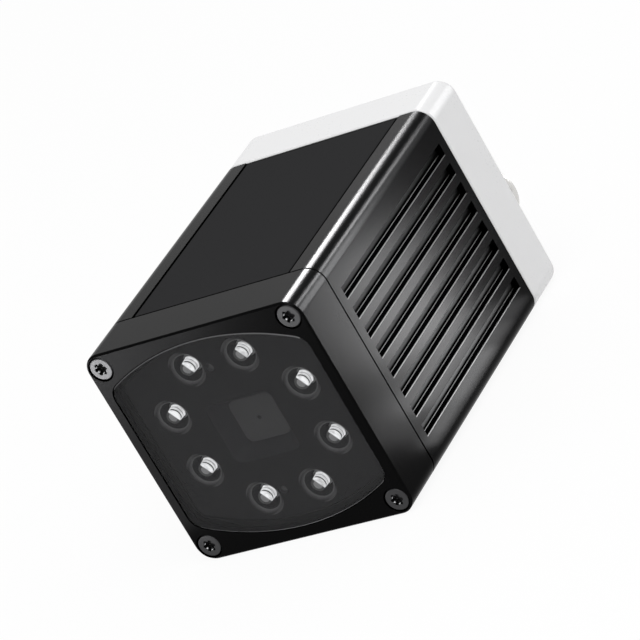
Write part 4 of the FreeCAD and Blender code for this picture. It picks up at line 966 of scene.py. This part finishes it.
class SENSOR_OT_stage(bpy.types.Operator):
    """Lay the floor, hang the lamps and set the camera."""

    bl_idname = "sensor.stage"
    bl_label = "Stage"

    def execute(self, context):
        stage = context.scene.sensor_stage
        self.lay_floor(context, stage)
        self.light_world(context, stage)
        metal = bpy.data.collections.new("black_metal")
        for name in SHAPED_PIECES:
            metal.objects.link(bpy.data.objects[name])
        for lamp in STUDIO_LAMPS + SHAPE_LAMPS + EDGE_LAMPS + GLOSS_LAMPS:
            item = self.hang_lamp(context, *lamp)
            item.visible_diffuse = lamp not in EDGE_LAMPS + GLOSS_LAMPS
            if lamp in SHAPE_LAMPS + EDGE_LAMPS:
                item.light_linking.receiver_collection = metal
        self.set_camera(context, stage)
        context.scene.view_settings.view_transform = "Standard"
        return {"FINISHED"}

    def seen(self, shader):
        """1 where the camera, a reflection or a view through glass looks."""
        rays = {}
        for name in ("Is Camera Ray", "Is Glossy Ray", "Is Transmission Ray"):
            rays[name] = shader.node("ShaderNodeLightPath", output=name)
        return rays["Is Camera Ray"].either(rays["Is Glossy Ray"]).either(rays["Is Transmission Ray"])

    def lay_floor(self, context, stage):
        """A pale floor that shows as white, with a faint shadow of the part on it."""
        half_width = 3.0
        gap = 0.05 * MM
        shape = bmesh.new()
        bmesh.ops.create_grid(shape, x_segments=1, y_segments=1, size=half_width)
        bmesh.ops.translate(shape, vec=(0, 0, CAD_BOX[0][2] - gap), verts=shape.verts)
        mesh = bpy.data.meshes.new("floor")
        shape.to_mesh(mesh)
        shape.free()
        finish = Finish("floor", Roughness=0.9)
        drift = finish.grain(0.4, detail=2.0)
        finish.set("Base Color", finish.blend(drift, shade(stage.floor, 0.99), shade(stage.floor)))
        white = finish.node("ShaderNodeEmission", None, {"Color": (1, 1, 1, 1), "Strength": 1.0})
        matt = Value(finish, finish.surface.outputs[0])
        mixed = finish.node("ShaderNodeMixShader", None,
                            {0: self.seen(finish) * (1 - stage.shadow), 1: matt, 2: white})
        finish.feed(finish.tree.nodes["Material Output"].inputs["Surface"], mixed)
        mesh.materials.append(finish.material)
        floor = bpy.data.objects.new("floor", mesh)
        context.scene.collection.objects.link(floor)

    def light_world(self, context, stage):
        """Even light from all round, that shows as white."""
        world = bpy.data.worlds.new("studio")
        world.use_nodes = True
        context.scene.world = world
        shader = Shader(world.node_tree)
        background = world.node_tree.nodes["Background"]
        background.inputs["Color"].default_value = (1, 1, 1, 1)
        seen = self.seen(shader)
        shader.feed(background.inputs["Strength"], seen + (1 - seen) * stage.ambient)

    def hang_lamp(self, context, name, spot, target, along, length_m, width_m, power):
        """A soft lamp at spot, facing target, with its long side lying along a direction."""
        lamp = bpy.data.lights.new(name, "AREA")
        lamp.shape = "RECTANGLE"
        lamp.size = length_m
        lamp.size_y = width_m
        lamp.energy = power
        back = (Vector(spot) - Vector(target)).normalized()
        side = (Vector(along) - Vector(along).dot(back) * back).normalized()
        item = bpy.data.objects.new(name, lamp)
        turn = Matrix((side, back.cross(side), back)).transposed().to_4x4()
        item.matrix_world = Matrix.Translation(spot) @ turn
        item.visible_camera = False
        context.scene.collection.objects.link(item)
        return item

    def set_camera(self, context, stage):
        """The camera, turned about its line of sight as the photograph is."""
        camera = bpy.data.cameras.new("camera")
        camera.lens = stage.camera_lens
        camera.sensor_width = 36.0
        camera.clip_end = 20.0
        item = bpy.data.objects.new("camera", camera)
        item.location = stage.camera_place
        back = Vector(stage.camera_place) - Vector(stage.camera_aim)
        level = back.to_track_quat("Z", "Y")
        item.rotation_euler = (level @ Quaternion((0, 0, 1), -stage.camera_roll)).to_euler()
        context.scene.collection.objects.link(item)
        context.scene.camera = item


class SENSOR_PT_panel(bpy.types.Panel):
    """Lists the steps that dress the sensor."""

    bl_idname = "SENSOR_PT_panel"
    bl_label = "Vision sensor"
    bl_space_type = "VIEW_3D"
    bl_region_type = "UI"
    bl_category = "Sensor"

    def draw(self, context):
        for step in STEPS:
            self.layout.operator(step.bl_idname)


STEPS = (SENSOR_OT_shells, SENSOR_OT_label, SENSOR_OT_window, SENSOR_OT_lighting, SENSOR_OT_screws,
         SENSOR_OT_connectors, SENSOR_OT_optics, SENSOR_OT_boards, SENSOR_OT_stage)
GROUPS = {"sensor_colours": SensorColours, "sensor_sizes": SensorSizes, "sensor_stage": StageSettings}


def register():
    for group in GROUPS.values():
        bpy.utils.register_class(group)
    for step in STEPS + (SENSOR_PT_panel,):
        bpy.utils.register_class(step)
    for name, group in GROUPS.items():
        setattr(bpy.types.Scene, name, PointerProperty(type=group))


def unregister():
    for name in GROUPS:
        delattr(bpy.types.Scene, name)
    for step in STEPS + (SENSOR_PT_panel,):
        bpy.utils.unregister_class(step)
    for group in GROUPS.values():
        bpy.utils.unregister_class(group)


def main():
    register()
    bpy.ops.sensor.shells()
    bpy.ops.sensor.label()
    bpy.ops.sensor.window()
    bpy.ops.sensor.lighting()
    bpy.ops.sensor.screws()
    bpy.ops.sensor.connectors()
    bpy.ops.sensor.optics()
    bpy.ops.sensor.boards()
    bpy.ops.sensor.stage()


if __name__ == "__main__":
    main()
